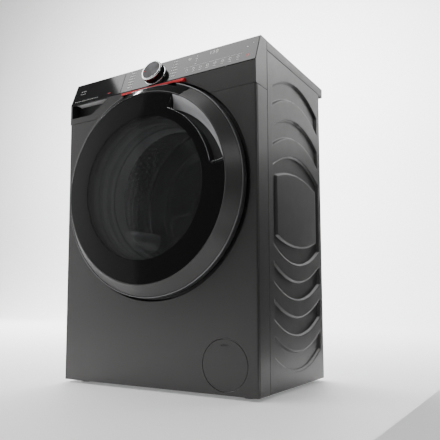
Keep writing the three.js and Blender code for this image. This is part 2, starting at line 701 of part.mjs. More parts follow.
function gasket() {
  return spun([[177, 8], [188.4, 8], [188.4, 27], [201, 34], [201, 46], [187, 53], [187, 76], [181.4, 76],
    [181.4, 49], [195, 42.5], [195, 37.5], [182, 31], [177, 22]], ROUND);
}
piece(axis, "gasket", greyRubber, gasket());

function tubFront() {
  const edge = TUB_SPLIT - GAP / 2;
  return spun([[NECK[0], 58], [NECK[1], 58], [NECK[1], TUB_FRONT], [TUB_R, TUB_FRONT], [TUB_R, edge - 6],
    [TUB_R + FLANGE, edge - 6], [TUB_R + FLANGE, edge], [TUB_IN, edge], [TUB_IN, TUB_FRONT + TUB_WALL],
    [NECK[0], TUB_FRONT + TUB_WALL]], ROUND);
}
piece(axis, "tub_front", greyPlastic, tubFront());

function tubRear() {
  const edge = TUB_SPLIT + GAP / 2;
  const inner = TUB_BACK - TUB_WALL;
  const shell = spun([[TUB_IN, edge], [TUB_R + FLANGE, edge], [TUB_R + FLANGE, edge + 6], [TUB_R, edge + 6],
    [TUB_R, TUB_BACK], [44, TUB_BACK], [44, 368], [34, 368], [34, 334], [44, 334], [44, inner],
    [TUB_IN, inner]], ROUND);
  const beside = Math.sqrt(TUB_R ** 2 - STRUT_X ** 2);
  const lugs = [-STRUT_X, STRUT_X].flatMap((x) => [
    box(x - 8, x + 8, 318, 342, beside - 14, beside + 12),
    box(x - 10, x + 10, 214, 238, -beside - 22, -beside + 10),
  ]);
  const inside = barY(TUB_IN, edge - 5, inner, 0, 0, ROUND);
  return cut(join(shell, ...lugs.map((lug) => cut(lug, inside))));
}
piece(axis, "tub_rear", greyPlastic, tubRear());

piece(axis, "front_counterweight", concrete,
  spun([[196, 62], [252, 62], [252, TUB_FRONT - GAP], [196, TUB_FRONT - GAP]], ROUND));

function heater() {
  const z = -254;
  const bow = new THREE.CatmullRomCurve3([
    new THREE.Vector3(-32, 338, z), new THREE.Vector3(-32, 250, z), new THREE.Vector3(-32, 160, z),
    new THREE.Vector3(-16, 130, z), new THREE.Vector3(16, 130, z), new THREE.Vector3(32, 160, z),
    new THREE.Vector3(32, 250, z), new THREE.Vector3(32, 338, z),
  ]);
  return join(swept(bow, 3.2, 24, 8), box(-38, 38, 334, 341.6, -257.5, -250));
}
piece(axis, "heater", stainless, heater());

piece(axis, "drum_bearing", stainless,
  spun([[SHAFT_R + GAP, 336], [33.7, 336], [33.7, 366], [SHAFT_R + GAP, 366]], ROUND));

// Belt outline: two arcs joined by the pulleys' outer tangents.
function beltLoop(growth) {
  const [big, small] = [DRUM_PULLEY_R + growth, MOTOR_PULLEY_R + growth];
  const lean = Math.asin((big - small) / MOTOR_DROP);
  const loop = new THREE.Shape();
  loop.absarc(0, 0, big, -lean, Math.PI + lean, false);
  loop.absarc(0, -MOTOR_DROP, small, Math.PI + lean, 2 * Math.PI - lean, false);
  loop.closePath();
  return loop;
}

function belt() {
  const [y0, y1] = [374, 386];
  return cut(prismY(beltLoop(4.2), y0, y1, 14), prismY(beltLoop(1.4), y0 - 1, y1 + 1, 14));
}
piece(axis, "belt", blackRubber, belt());

function motor() {
  const can = spun([[0, 235], [46, 235], [52, 240], [52, 350], [44, 355], [0, 355]], COARSE)
    .translate([0, 0, -MOTOR_DROP]);
  const bracket = box(-28, 28, 250, 330, -MOTOR_DROP + 40, -TUB_R - 1);
  return join(can, bracket);
}
piece(axis, "motor", zincSteel, motor());

piece(axis, "motor_pulley", castAlloy, spun([[0, 355.6], [6, 355.6], [6, 373], [MOTOR_PULLEY_R, 373],
  [MOTOR_PULLEY_R, 387], [6, 387], [6, 390], [0, 390]], COARSE).translate([0, 0, -MOTOR_DROP]));

// Drum ---------------------------------------------------------------------

const DRUM_SHEET = 1.5;

function drum() {
  const inner = DRUM_R - DRUM_SHEET;
  return spun([[0, DRUM_BACK], [DRUM_R, DRUM_BACK], [DRUM_R, DRUM_FRONT], [190, DRUM_FRONT],
    [190, DRUM_FRONT + DRUM_SHEET], [inner, DRUM_FRONT + DRUM_SHEET], [inner, DRUM_BACK - DRUM_SHEET],
    [0, DRUM_BACK - DRUM_SHEET]], FINE);
}
piece(axis, "drum", stainless, drum());

const LIFTER_ANGLES = [205, 325, 85]; // degrees from +X towards +Z

function lifter(angle) {
  const section = new THREE.Shape();
  const [foot, crest] = [DRUM_R - 4, DRUM_R - 56];
  section.moveTo(-30, foot - 2);
  section.lineTo(-15, crest + 14);
  section.quadraticCurveTo(-11, crest, 0, crest);
  section.quadraticCurveTo(11, crest, 15, crest + 14);
  section.lineTo(30, foot - 2);
  section.closePath();
  const upright = prismY(section, DRUM_FRONT + 12, DRUM_BACK - 10, 4);
  return upright.rotate([0, 90 - angle, 0]);
}
LIFTER_ANGLES.forEach((angle, i) => {
  piece(axis, `drum_lifter_${i + 1}`, greyPlastic, lifter(angle));
});

function drumSpider() {
  const hub = spun([[0, DRUM_BACK + GAP], [44, DRUM_BACK + GAP], [44, 322], [SHAFT_R + 6, 331],
    [SHAFT_R, 331], [SHAFT_R, 391], [0, 391]], COARSE);
  const arm = box(-15, 15, DRUM_BACK + GAP, 324, 30, DRUM_R - 8);
  return join(hub, ...LIFTER_ANGLES.map((angle) => arm.rotate([0, 90 - angle, 0])));
}
piece(axis, "drum_spider", castAlloy, drumSpider());

piece(axis, "drum_pulley", castAlloy, spun([[SHAFT_R + GAP, 371], [32, 371], [32, 377], [120, 378],
  [120, 373], [DRUM_PULLEY_R, 373], [DRUM_PULLEY_R, 387], [120, 387], [120, 382], [32, 383], [32, 388],
  [SHAFT_R + GAP, 388]], ROUND));

// Suspension ---------------------------------------------------------------

class Helix extends THREE.Curve {
  constructor(radius, pitch, turns) {
    super();
    Object.assign(this, { radius, pitch, turns });
  }

  getPoint(t, target = new THREE.Vector3()) {
    const angle = 2 * Math.PI * this.turns * t;
    return target.set(this.radius * Math.cos(angle), this.radius * Math.sin(angle), this.pitch * this.turns * t);
  }
}

const WIRE_R = 1.7;
const BESIDE = Math.sqrt(TUB_R ** 2 - STRUT_X ** 2);
const SPRING_FOOT = AXIS_Z + BESIDE + 12 + WIRE_R + 1;

function tubSpring() {
  const turns = 6;
  const height = BRACE_Z - WIRE_R - 1 - SPRING_FOOT;
  return swept(new Helix(10, height / turns, turns), WIRE_R, turns * 9, 5);
}

function damperTube() {
  return turned([[0, 0], [17, 0], [17, 140], [9, 140], [9, 12], [0, 12]], 16);
}

function damperRod(top) {
  return turned([[0, 85], [6, 85], [6, top], [0, top]], SMALL);
}

for (const [side, x] of Object.entries({ left: -STRUT_X, right: STRUT_X })) {
  piece(cabinet, `tub_spring_${side}`, zincSteel, tubSpring()).position.set(x, 330, SPRING_FOOT);
  const base = BODY_BOTTOM + 2.6;
  const lugFoot = AXIS_Z - BESIDE - 22;
  piece(cabinet, `damper_tube_${side}`, blackPlastic, damperTube()).position.set(x, 226, base);
  piece(cabinet, `damper_rod_${side}`, zincSteel, damperRod(lugFoot - base - GAP)).position.set(x, 226, base);
}

export default machine;
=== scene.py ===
"""Front load washing machine: the looks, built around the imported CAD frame. Units are metres.

Positions come from the frame's own boxes; small details are named values in millimetres, turned
into metres by MM.
"""
import math
import random

import bmesh
import bpy
from mathutils import Matrix, Vector
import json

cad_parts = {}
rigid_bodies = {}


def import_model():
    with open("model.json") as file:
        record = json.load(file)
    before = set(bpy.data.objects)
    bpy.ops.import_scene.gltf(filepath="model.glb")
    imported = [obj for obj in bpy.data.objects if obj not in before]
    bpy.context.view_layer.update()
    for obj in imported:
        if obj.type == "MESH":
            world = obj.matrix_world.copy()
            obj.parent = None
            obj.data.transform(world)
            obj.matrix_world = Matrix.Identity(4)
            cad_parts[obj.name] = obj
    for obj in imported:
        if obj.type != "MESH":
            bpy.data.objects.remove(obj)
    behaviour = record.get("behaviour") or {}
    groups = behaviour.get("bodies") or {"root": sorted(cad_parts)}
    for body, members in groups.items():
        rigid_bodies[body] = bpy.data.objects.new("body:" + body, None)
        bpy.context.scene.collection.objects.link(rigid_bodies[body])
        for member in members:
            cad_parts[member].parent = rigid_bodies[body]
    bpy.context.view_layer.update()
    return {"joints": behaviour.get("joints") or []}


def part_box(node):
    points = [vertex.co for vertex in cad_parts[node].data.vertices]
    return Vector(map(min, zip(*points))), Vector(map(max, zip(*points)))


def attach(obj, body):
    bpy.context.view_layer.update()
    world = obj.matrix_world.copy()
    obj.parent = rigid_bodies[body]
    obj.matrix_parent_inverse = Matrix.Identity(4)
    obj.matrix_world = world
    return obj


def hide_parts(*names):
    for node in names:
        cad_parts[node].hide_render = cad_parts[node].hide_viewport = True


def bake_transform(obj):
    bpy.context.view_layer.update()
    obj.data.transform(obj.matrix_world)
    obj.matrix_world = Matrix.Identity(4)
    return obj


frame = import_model()
MM = 0.001


# Places read from the frame

def low(node):
    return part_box(node)[0]


def high(node):
    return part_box(node)[1]


def joint_named(name):
    return next(j for j in frame["joints"] if j["name"] == name)


def middle(node):
    return (low(node) + high(node)) / 2


HALF = high("worktop").x
FRONT = low("front_panel").y
SIDE_FRONT = low("side_panel_right").y
SIDE_BACK = high("side_panel_right").y
AXIS_Z = Vector(joint_named("drum_spin")["pos_m"]).z
BODY_BOTTOM = low("front_panel").z
SEAM_Z = low("control_fascia").z
TOP_Z = high("worktop").z
GLASS_FOOT = AXIS_Z + 279 * MM
SLOPE = math.atan2(27.5, 69)


def deep(depth):
    """A place along Y, `depth` mm behind the front face."""
    return FRONT + depth * MM


# The camera, at the photograph's angle

CAMERA_AT = (0.8564, FRONT - 1.1038, 0.2221)
CAMERA_YAW = math.radians(32.26)
CAMERA_PITCH = math.radians(5.45)
SENSOR, LENS = 36, 45.2  # mm
SHIFT_X, SHIFT_Y = 0.034, 0.0636


def make_camera():
    data = bpy.data.cameras.new("camera")
    data.sensor_width = SENSOR
    data.lens = LENS
    data.shift_x = SHIFT_X
    data.shift_y = SHIFT_Y
    data.clip_end = 50
    camera = bpy.data.objects.new("camera", data)
    bpy.context.scene.collection.objects.link(camera)
    camera.location = CAMERA_AT
    camera.rotation_euler = (math.pi / 2 + CAMERA_PITCH, 0, CAMERA_YAW)
    bpy.context.scene.camera = camera


make_camera()


# Materials

def new_material(name, settings):
    """A Principled material whose constants are set on the shader's own sockets."""
    material = bpy.data.materials.new(name)
    material.use_nodes = True
    nodes = material.node_tree.nodes
    shader = nodes["Principled BSDF"]
    for socket, value in settings.items():
        shader.inputs[socket].default_value = value
    return material, nodes, material.node_tree.links, shader


def noise(nodes, links, scale, detail=4, rough=0.6, stretch=None):
    """A noise in object space, stretched along an axis where stretch gives its scale per axis."""
    coordinate = nodes.new("ShaderNodeTexCoord")
    mapping = nodes.new("ShaderNodeMapping")
    if stretch:
        mapping.inputs["Scale"].default_value = stretch
    texture = nodes.new("ShaderNodeTexNoise")
    texture.inputs["Scale"].default_value = scale
    texture.inputs["Detail"].default_value = detail
    texture.inputs["Roughness"].default_value = rough
    links.new(coordinate.outputs["Object"], mapping.inputs["Vector"])
    links.new(mapping.outputs["Vector"], texture.inputs["Vector"])
    return texture.outputs["Fac"]


def ramp(nodes, links, factor, low_value, high_value, start=0.3, end=0.7):
    mapped = nodes.new("ShaderNodeMapRange")
    mapped.inputs["From Min"].default_value = start
    mapped.inputs["From Max"].default_value = end
    mapped.inputs["To Min"].default_value = low_value
    mapped.inputs["To Max"].default_value = high_value
    links.new(factor, mapped.inputs["Value"])
    return mapped.outputs["Result"]


def two_tone(nodes, links, factor, dark, light, start=0.35, end=0.65):
    colour = nodes.new("ShaderNodeValToRGB")
    colour.color_ramp.elements[0].position = start
    colour.color_ramp.elements[1].position = end
    colour.color_ramp.elements[0].color = (*dark, 1)
    colour.color_ramp.elements[1].color = (*light, 1)
    links.new(factor, colour.inputs["Fac"])
    return colour.outputs["Color"]


def bump(nodes, links, shader, factor, strength, distance):
    node = nodes.new("ShaderNodeBump")
    node.inputs["Strength"].default_value = strength
    node.inputs["Distance"].default_value = distance
    links.new(factor, node.inputs["Height"])
    links.new(node.outputs["Normal"], shader.inputs["Normal"])


def gloss(nodes, links, shader, factor, smoothest, roughest):
    """Lets the roughness drift between two values."""
    links.new(ramp(nodes, links, factor, smoothest, roughest), shader.inputs["Roughness"])


def surface(name, dark, light, roughness, metallic=0.0, grain=900, tone=14, relief=0.08,
            spread=0.06, coat=0.0, stretch=None, specular=0.5):
    """A finish with a slow colour drift, a fine grain in its gloss and a slight relief."""
    material, nodes, links, shader = new_material(name, {
        "Metallic": metallic, "Specular IOR Level": specular, "Coat Weight": coat, "Coat Roughness": 0.08})
    drift = noise(nodes, links, tone, 3)
    links.new(two_tone(nodes, links, drift, dark, light), shader.inputs["Base Color"])
    fine = noise(nodes, links, grain, 2, 0.7, stretch)
    gloss(nodes, links, shader, fine, roughness - spread, roughness + spread)
    if relief:
        bump(nodes, links, shader, fine, relief, 0.0002)
    return material


def metallic_enamel():
    """Graphite enamel: metal flakes of two greys under a thin clear coat."""
    material, nodes, links, shader = new_material("graphite_enamel", {
        "Metallic": 0.72, "Coat Weight": 0.25, "Coat Roughness": 0.22})
    flakes = noise(nodes, links, 2600, 1, 0.5)
    links.new(two_tone(nodes, links, flakes, (0.044, 0.043, 0.043), (0.078, 0.076, 0.075), 0.42, 0.6),
              shader.inputs["Base Color"])
    gloss(nodes, links, shader, noise(nodes, links, 30, 3), 0.38, 0.43)
    bump(nodes, links, shader, noise(nodes, links, 1500, 2), 0.05, 0.0001)
    return material


def clear_sheet(name, settings, scale, detail, smoothest, roughest):
    """A glossy sheet with faint smears; its colour, clearness and shine are in settings."""
    material, nodes, links, shader = new_material(name, settings)
    gloss(nodes, links, shader, noise(nodes, links, scale, detail), smoothest, roughest)
    return material


def black_gloss(name, base, specular):
    return clear_sheet(name, {"Base Color": (*base, 1), "Specular IOR Level": specular}, 18, 5, 0.05, 0.1)


def glowing(name, colour, strength):
    return clear_sheet(name, {"Base Color": (*colour, 1), "Emission Color": (*colour, 1),
                              "Emission Strength": strength}, 700, 2, 0.35, 0.5)


GRAPHITE = metallic_enamel()
COVER = clear_sheet("smoked_cover", {"Base Color": (0.004, 0.004, 0.004, 1), "Alpha": 0.42,
                                     "Specular IOR Level": 0.5}, 9, 4, 0.03, 0.07)
GLASS_BLACK = black_gloss("control_glass_black", (0.006, 0.006, 0.0065), 0.5)
TRIM_BLACK = black_gloss("door_black_gloss", (0.004, 0.004, 0.004), 0.28)
BOWL = clear_sheet("bowl_glass", {"Base Color": (0.55, 0.58, 0.58, 1), "Alpha": 0.10,
                                  "Specular IOR Level": 1.0, "Coat Weight": 1.0}, 12, 2, 0.02, 0.06)
RED = surface("accent_red_satin", (0.62, 0.012, 0.02), (0.72, 0.02, 0.03), 0.32, relief=0.03, coat=0.3)
BLACK = surface("moulded_black", (0.010, 0.010, 0.011), (0.017, 0.017, 0.018), 0.5, grain=1400, relief=0.25)
GREY = surface("moulded_grey", (0.26, 0.27, 0.28), (0.32, 0.33, 0.34), 0.5, grain=1200, relief=0.2)
WHITE = surface("moulded_white", (0.70, 0.70, 0.69), (0.77, 0.77, 0.76), 0.42, grain=1200, relief=0.12)
STEEL = surface("drum_stainless", (0.52, 0.53, 0.54), (0.62, 0.63, 0.64), 0.26, 1.0, grain=260,
                relief=0.06, stretch=(1, 14, 1))
CHROME = surface("polished_chrome", (0.78, 0.79, 0.8), (0.84, 0.85, 0.86), 0.08, 1.0,
                 relief=0.0, spread=0.03)
ZINC = surface("zinc_sheet", (0.40, 0.41, 0.42), (0.55, 0.56, 0.56), 0.42, 0.9, grain=160,
               tone=60, relief=0.05)
ALLOY = surface("cast_alloy", (0.34, 0.35, 0.36), (0.44, 0.45, 0.45), 0.5, 0.85, grain=420, relief=0.3)
CONCRETE = surface("ballast_concrete", (0.30, 0.29, 0.27), (0.42, 0.40, 0.37), 0.9, grain=240, tone=50,
                   relief=0.6, spread=0.04)
# Painted shade: the drum's back wall gets steel far darker than the drum's own, standing in for the shade
# deep inside the drum.
PAINTED_SHADE_BACK_STEEL = surface("drum_back_steel_painted_shade", (0.045, 0.046, 0.048), (0.07, 0.071, 0.073), 0.36, 1.0, grain=200,
                     relief=0.06, stretch=(1, 14, 1))
SEAL = surface("grey_seal_rubber", (0.085, 0.088, 0.09), (0.115, 0.118, 0.12), 0.6, grain=700, relief=0.12)
RUBBER = surface("black_rubber", (0.012, 0.012, 0.012), (0.022, 0.022, 0.022), 0.75, grain=800, relief=0.2)
# Painted light: the printed marks glow faintly, brighter than lit ink, so they stand out on the dark glass;
# their colours are the print's own.
WHITE_PRINT_GLOWING = glowing("white_print_painted_glow", (0.78, 0.78, 0.76), 0.25)
RED_PRINT_GLOWING = glowing("red_print_painted_glow", (0.75, 0.03, 0.04), 0.3)


# Mesh helpers

def link_mesh(name, mesh, material):
    mesh.name = name
    piece = bpy.data.objects.new(name, mesh)
    bpy.context.scene.collection.objects.link(piece)
    mesh.materials.append(material)
    return piece


def from_faces(name, points, faces, material):
    mesh = bpy.data.meshes.new(name)
    mesh.from_pydata(points, [], faces)
    work = bmesh.new()
    work.from_mesh(mesh)
    bmesh.ops.remove_doubles(work, verts=work.verts, dist=1e-6)
    bmesh.ops.recalc_face_normals(work, faces=work.faces)
    work.to_mesh(mesh)
    work.free()
    return link_mesh(name, mesh, material)


def apply_modifiers(piece):
    depsgraph = bpy.context.evaluated_depsgraph_get()
    mesh = bpy.data.meshes.new_from_object(piece.evaluated_get(depsgraph), depsgraph=depsgraph)
    piece.modifiers.clear()
    piece.data = mesh
    return piece


def smooth(piece, degrees=35, weighted=True):
    """Smooth shading with sharp edges kept; weighted normals keep broad faces flat."""
    for polygon in piece.data.polygons:
        polygon.use_smooth = True
    piece.data.set_sharp_from_angle(angle=math.radians(degrees))
    if weighted:
        modifier = piece.modifiers.new("weighted", "WEIGHTED_NORMAL")
        modifier.keep_sharp = True
        modifier.weight = 90
        apply_modifiers(piece)
    return piece


UPRIGHT = Matrix.Rotation(math.pi / 2, 4, "X")  # stands a piece turned about Y on its end


def thickened(piece, thickness, offset=0.0):
    """Gives a sheet `thickness` millimetres; offset -1 grows it inwards only."""
    modifier = piece.modifiers.new("thickness", "SOLIDIFY")
    modifier.thickness = thickness * MM
    modifier.offset = offset
    return apply_modifiers(piece)


def grid_faces(columns, rows):
    """Quads between the points of a grid that was written row by row."""
    width = columns + 1
    return [(j * width + i, j * width + i + 1, (j + 1) * width + i + 1, (j + 1) * width + i)
            for j in range(rows) for i in range(columns)]


def bevelled(piece, width, segments=3, degrees=32):
    """Rounds the sharp edges by `width` millimetres."""
    modifier = piece.modifiers.new("bevel", "BEVEL")
    modifier.width = width * MM
    modifier.segments = segments
    modifier.limit_method = "ANGLE"
    modifier.angle_limit = math.radians(degrees)
    modifier.use_clamp_overlap = True
    modifier.harden_normals = False
    return smooth(apply_modifiers(piece))


def boolean(piece, tool, operation="DIFFERENCE"):
    modifier = piece.modifiers.new("cut", "BOOLEAN")
    modifier.object = tool
    modifier.operation = operation
    modifier.solver = "EXACT"
    apply_modifiers(piece)
    bpy.data.objects.remove(tool)
    return piece


def rounded(profile, steps=4):
    """An outline in mm; a corner's third value, where it has one, is the radius that rounds it."""
    result = []
    count = len(profile)
    for i, corner in enumerate(profile):
        here = Vector(corner[:2])
        if len(corner) == 2:
            result.append(tuple(here))
            continue
        before = Vector(profile[i - 1][:2]) - here
        after = Vector(profile[(i + 1) % count][:2]) - here
        reach = min(corner[2], before.length * 0.49, after.length * 0.49)
        start = here + before.normalized() * reach
        end = here + after.normalized() * reach
        for k in range(steps + 1):
            t = k / steps
            result.append(tuple((1 - t) ** 2 * start + 2 * t * (1 - t) * here + t * t * end))
    return result


def eased(profile, steps):
    """The profile itself, or its rounded form where a corner asks for a radius."""
    return rounded(profile, steps) if any(len(corner) > 2 for corner in profile) else profile


def lathe(name, profile, material, segments=160, a0=0.0, a1=360.0, closed=True, steps=4):
    """Spins an (r, d) profile in mm about the door's axis; d is measured from the front face."""
    profile = eased(profile, steps)
    whole = abs(a1 - a0) >= 359.99
    count = segments if whole else max(3, int(segments * (a1 - a0) / 360))
    rings = count if whole else count + 1
    points = []
    for i in range(rings):
        angle = math.radians(a0 + (a1 - a0) * i / count)
        for r, d in profile:
            points.append((r * MM * math.cos(angle), deep(d), AXIS_Z + r * MM * math.sin(angle)))
    n = len(profile)
    faces = []
    spans = n if closed else n - 1
    for i in range(count):
        a, b = i * n, ((i + 1) % rings) * n
        for k in range(spans):
            m = (k + 1) % n
            faces.append((a + k, a + m, b + m, b + k))
    if not whole and closed:
        faces.append(tuple(range(n)))
        faces.append(tuple(count * n + k for k in reversed(range(n))))
    return from_faces(name, points, faces, material)


def clipped(piece, z0, z1, material):
    """Keeps what lies between two heights; the cut faces take the material."""
    return boolean(piece, block("keep", (-1, 1), (-1, 1), (z0, z1), material), "INTERSECT")


def at(x, y, z):
    return Matrix.Translation((x, y, z))


def moved(piece, matrix):
    piece.data.transform(matrix)
    return piece


def block(name, x, y, z, material):
    """A box between two values per axis, in metres."""
    points = [(a, b, c) for a in x for b in y for c in z]
    faces = [(0, 1, 3, 2), (4, 6, 7, 5), (0, 4, 5, 1), (2, 3, 7, 6), (0, 2, 6, 4), (1, 5, 7, 3)]
    return from_faces(name, points, faces, material)


def prism(name, outline, axis, start, end, material):
    """An outline drawn out along 'x' ((y, z) points), 'y' ((x, z)) or 'z' ((x, y)), in metres."""
    place = {
        "x": lambda u, v, w: (w, u, v),
        "y": lambda u, v, w: (u, w, v),
        "z": lambda u, v, w: (u, v, w),
    }[axis]
    n = len(outline)
    points = [place(u, v, start) for u, v in outline] + [place(u, v, end) for u, v in outline]
    faces = [tuple(range(n)), tuple(reversed(range(n, 2 * n)))]
    faces += [(i, (i + 1) % n, n + (i + 1) % n, n + i) for i in range(n)]
    return from_faces(name, points, faces, material)


def disc(name, radius, y0, y1, x, z, material, segments=96):
    """A round plate along Y, in metres."""
    outline = [(x + radius * math.cos(2 * math.pi * i / segments),
                z + radius * math.sin(2 * math.pi * i / segments)) for i in range(segments)]
    return prism(name, outline, "y", y0, y1, material)


def joined(name, parts):
    """One piece from several; each keeps its material and its normals."""
    target = parts[0]
    with bpy.context.temp_override(active_object=target, object=target, selected_objects=parts,
                                   selected_editable_objects=parts):
        bpy.ops.object.join()
    target.name = target.data.name = name
    return target


def fit(piece, body, slot, *nodes):
    """Rides a piece on a body and hides the CAD nodes that it stands for; slot is not used."""
    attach(piece, body)
    if nodes:
        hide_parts(*nodes)
    return piece


# Side panels with their pressed bands

BAND_HALF_CHORD = 148 * MM
BAND_ARCH = 46 * MM
BAND_HEIGHT = 50 * MM
BAND_MIDDLE = deep(234)
PRESS_DEPTH = 6 * MM
WALL = 4.6 * MM  # width of a pressed wall
UPPER_CROWNS = [0.791, 0.691]
LOWER_FEET = [0.222, 0.132, 0.044]
RING_CROWN = 0.595
RING_FOOT = 0.312


def bow(y):
    """How far an arch has fallen from its crown at y."""
    u = (y - BAND_MIDDLE) / BAND_HALF_CHORD
    return BAND_ARCH * u * u


def inside_band(y, foot, crown):
    """Signed distance into a band: positive inside, in metres."""
    ends = BAND_HALF_CHORD - abs(y - BAND_MIDDLE)
    return min(ends, foot, crown)


def band_depth(y, z):
    """Depth of pressing at a point of a side panel, from 0 to 1."""
    fall = bow(y)
    best = -1.0
    for crown in UPPER_CROWNS:
        best = max(best, inside_band(y, z - (crown - BAND_HEIGHT - fall), crown - fall - z))
    for foot in LOWER_FEET:
        best = max(best, inside_band(y, z - (foot + fall), foot + BAND_HEIGHT + fall - z))
    around = inside_band(y, z - (RING_FOOT + fall), RING_CROWN - fall - z)
    inset = 24 * MM
    centre = min(BAND_HALF_CHORD - inset - abs(y - BAND_MIDDLE),
                 z - (RING_FOOT + BAND_HEIGHT + 0.62 * fall), RING_CROWN - BAND_HEIGHT - 0.62 * fall - z)
    best = max(best, min(around, -centre))
    t = min(1.0, max(0.0, best / WALL))
    return t * t * (3 - 2 * t)


def side_panel(side):
    """A pressed sheet: bands sunk into it, edges folded in at the front and back."""
    columns, rows = 190, 440
    z0, z1 = low("side_panel_right").z, high("side_panel_right").z
    fold = 1.6 * MM
    points = []
    for j in range(rows + 1):
        z = z0 + (z1 - z0) * j / rows
        for i in range(columns + 1):
            y = SIDE_FRONT + (SIDE_BACK - SIDE_FRONT) * i / columns
            edge = min(i, columns - i)
            x = HALF - PRESS_DEPTH * band_depth(y, z) - (fold if edge == 0 else 0)
            points.append((side * x, y, z))
    name = "side_panel_" + ("right" if side > 0 else "left")
    sheet = from_faces(name + "_skin", points, grid_faces(columns, rows), GRAPHITE)
    if sheet.data.polygons[0].normal.x * side < 0:
        sheet.data.flip_normals()
    smooth(thickened(sheet, 1.0, -1), 40, weighted=False)
    fit(sheet, "cabinet", "graphite_paint", name)


side_panel(1)
side_panel(-1)


# Front panel

SHEET = 1.5 * MM
RECESS_R = 281.6
RECESS_FLOOR = 12
FLAP = high("filter_flap"), low("filter_flap")
FLAP_X = (FLAP[0].x + FLAP[1].x) / 2
FLAP_Z = (FLAP[0].z + FLAP[1].z) / 2
FLAP_R = (FLAP[0].x - FLAP[1].x) / 2
CEILING = AXIS_Z + 264 * MM  # top of the recess, above the door's flat top


def corner_arc(cx, cy, radius, start, end, steps=8):
    angles = [math.radians(start + (end - start) * i / steps) for i in range(steps + 1)]
    return [(cx + radius * math.cos(a), cy + radius * math.sin(a)) for a in angles]


def front_plan():
    """Half of the U-shaped plan, with a rounded corner and a fine groove beside it; then mirrored."""
    radius, groove = 5 * MM, 1.1 * MM
    rear = SIDE_FRONT - 0.3 * MM
    right = [(HALF, rear), (HALF, deep(10)), (HALF - groove, deep(9.2)),
             (HALF - groove, deep(7.4)), (HALF, deep(6.8))]
    right += corner_arc(HALF - radius, FRONT + radius, radius, 0, -90)
    outer = right + [(-x, y) for x, y in reversed(right)]
    inside = [(-HALF + 2 * SHEET, rear), (-HALF + 2 * SHEET, deep(7))]
    inside += [(-HALF + 8 * MM, FRONT + SHEET), (HALF - 8 * MM, FRONT + SHEET)]
    inside += [(HALF - 2 * SHEET, deep(7)), (HALF - 2 * SHEET, rear)]
    return outer + inside


DISH = rounded([(284.6, 0.02), (281.2, 0.02, 2.4), (280.4, RECESS_FLOOR, 4), (190.5, RECESS_FLOOR, 1.5),
                (189, 14, 1), (189, 23), (190.2, 23), (190.2, 13.4), (281.8, 13.4), (282.8, 1.4),
                (284.6, 1.4)])


def recess_dish(name, z0, z1):
    """The stamped recess around the door, between two heights."""
    return clipped(lathe(name, DISH, GRAPHITE, 176), z0, z1, GRAPHITE)


def lock_slot(name):
    """The room of the latch's slot in the recess floor."""
    x0, x1, z = low("door_hook").x - 4 * MM, high("door_hook").x + 4 * MM, AXIS_Z
    return block(name, (x0, x1), (deep(5), deep(20)), (z - 20 * MM, z + 20 * MM), GRAPHITE)


def front_panel():
    top = SEAM_Z - 0.5 * MM
    skin = prism("front_skin", front_plan(), "z", BODY_BOTTOM, top, GRAPHITE)
    boolean(skin, disc("hole", 284 * MM, FRONT - 0.01, FRONT + 0.004, 0, AXIS_Z, GRAPHITE, 176))
    boolean(skin, disc("hole", FLAP_R + 0.8 * MM, FRONT - 0.01, FRONT + 0.004, FLAP_X, FLAP_Z, GRAPHITE))
    bevelled(skin, 0.5, 2, 50)
    dish = boolean(recess_dish("front_dish", 0, top), lock_slot("slot"))
    smooth(dish, 30)
    well = prism_ring("flap_well", FLAP_R + 0.8 * MM, FLAP_R + 2.4 * MM, FRONT + 0.0006, FRONT + 0.015,
                      FLAP_X, FLAP_Z, GRAPHITE)
    smooth(well)
    fit(joined("front_panel_skin", [skin, dish, well]), "cabinet", "graphite_paint", "front_panel")


def prism_ring(name, inner, outer, y0, y1, x, z, material, segments=96):
    """A short tube along Y, in metres."""
    points, faces = [], []
    for i in range(segments):
        angle = 2 * math.pi * i / segments
        for radius, y in ((inner, y0), (outer, y0), (outer, y1), (inner, y1)):
            points.append((x + radius * math.cos(angle), y, z + radius * math.sin(angle)))
    for i in range(segments):
        a, b = 4 * i, 4 * ((i + 1) % segments)
        faces += [(a + k, a + (k + 1) % 4, b + (k + 1) % 4, b + k) for k in range(4)]
    return from_faces(name, points, faces, material)


front_panel()


# Control fascia

UP_SLOPE = Vector((0, math.sin(SLOPE), math.cos(SLOPE)))
INTO_SLOPE = Vector((0, math.cos(SLOPE), -math.sin(SLOPE)))
SLOPE_FOOT = Vector((0, FRONT, GLASS_FOOT))
SLOPE_LENGTH = 74.3
TO_SLOPE = Matrix.Translation(SLOPE_FOOT) @ Matrix.Rotation(-SLOPE, 4, "X")
GRIP = [(-291, -40), (-222, -40), (-214, -38.4), (-168, -11.2), (-161, -7), (-161, -2), (-291, -2)]


def on_slope(x, up, depth=0.0):
    """A point on the control glass: x and height up the slope in mm, depth into the machine."""
    return SLOPE_FOOT + Vector((x * MM, 0, 0)) + UP_SLOPE * up * MM + INTO_SLOPE * depth * MM


def slope_pair(up, depth):
    point = on_slope(0, up, depth)
    return point.y, point.z


def grip_outline(grow):
    """The drawer's grip pocket in (x, z); its floor climbs beside the door's surround."""
    return [(x * MM + (grow if x > -200 else -grow if x < -250 else 0) * MM,
             GLASS_FOOT + (z - (grow if z < -5 else -0.3)) * MM) for x, z in GRIP]


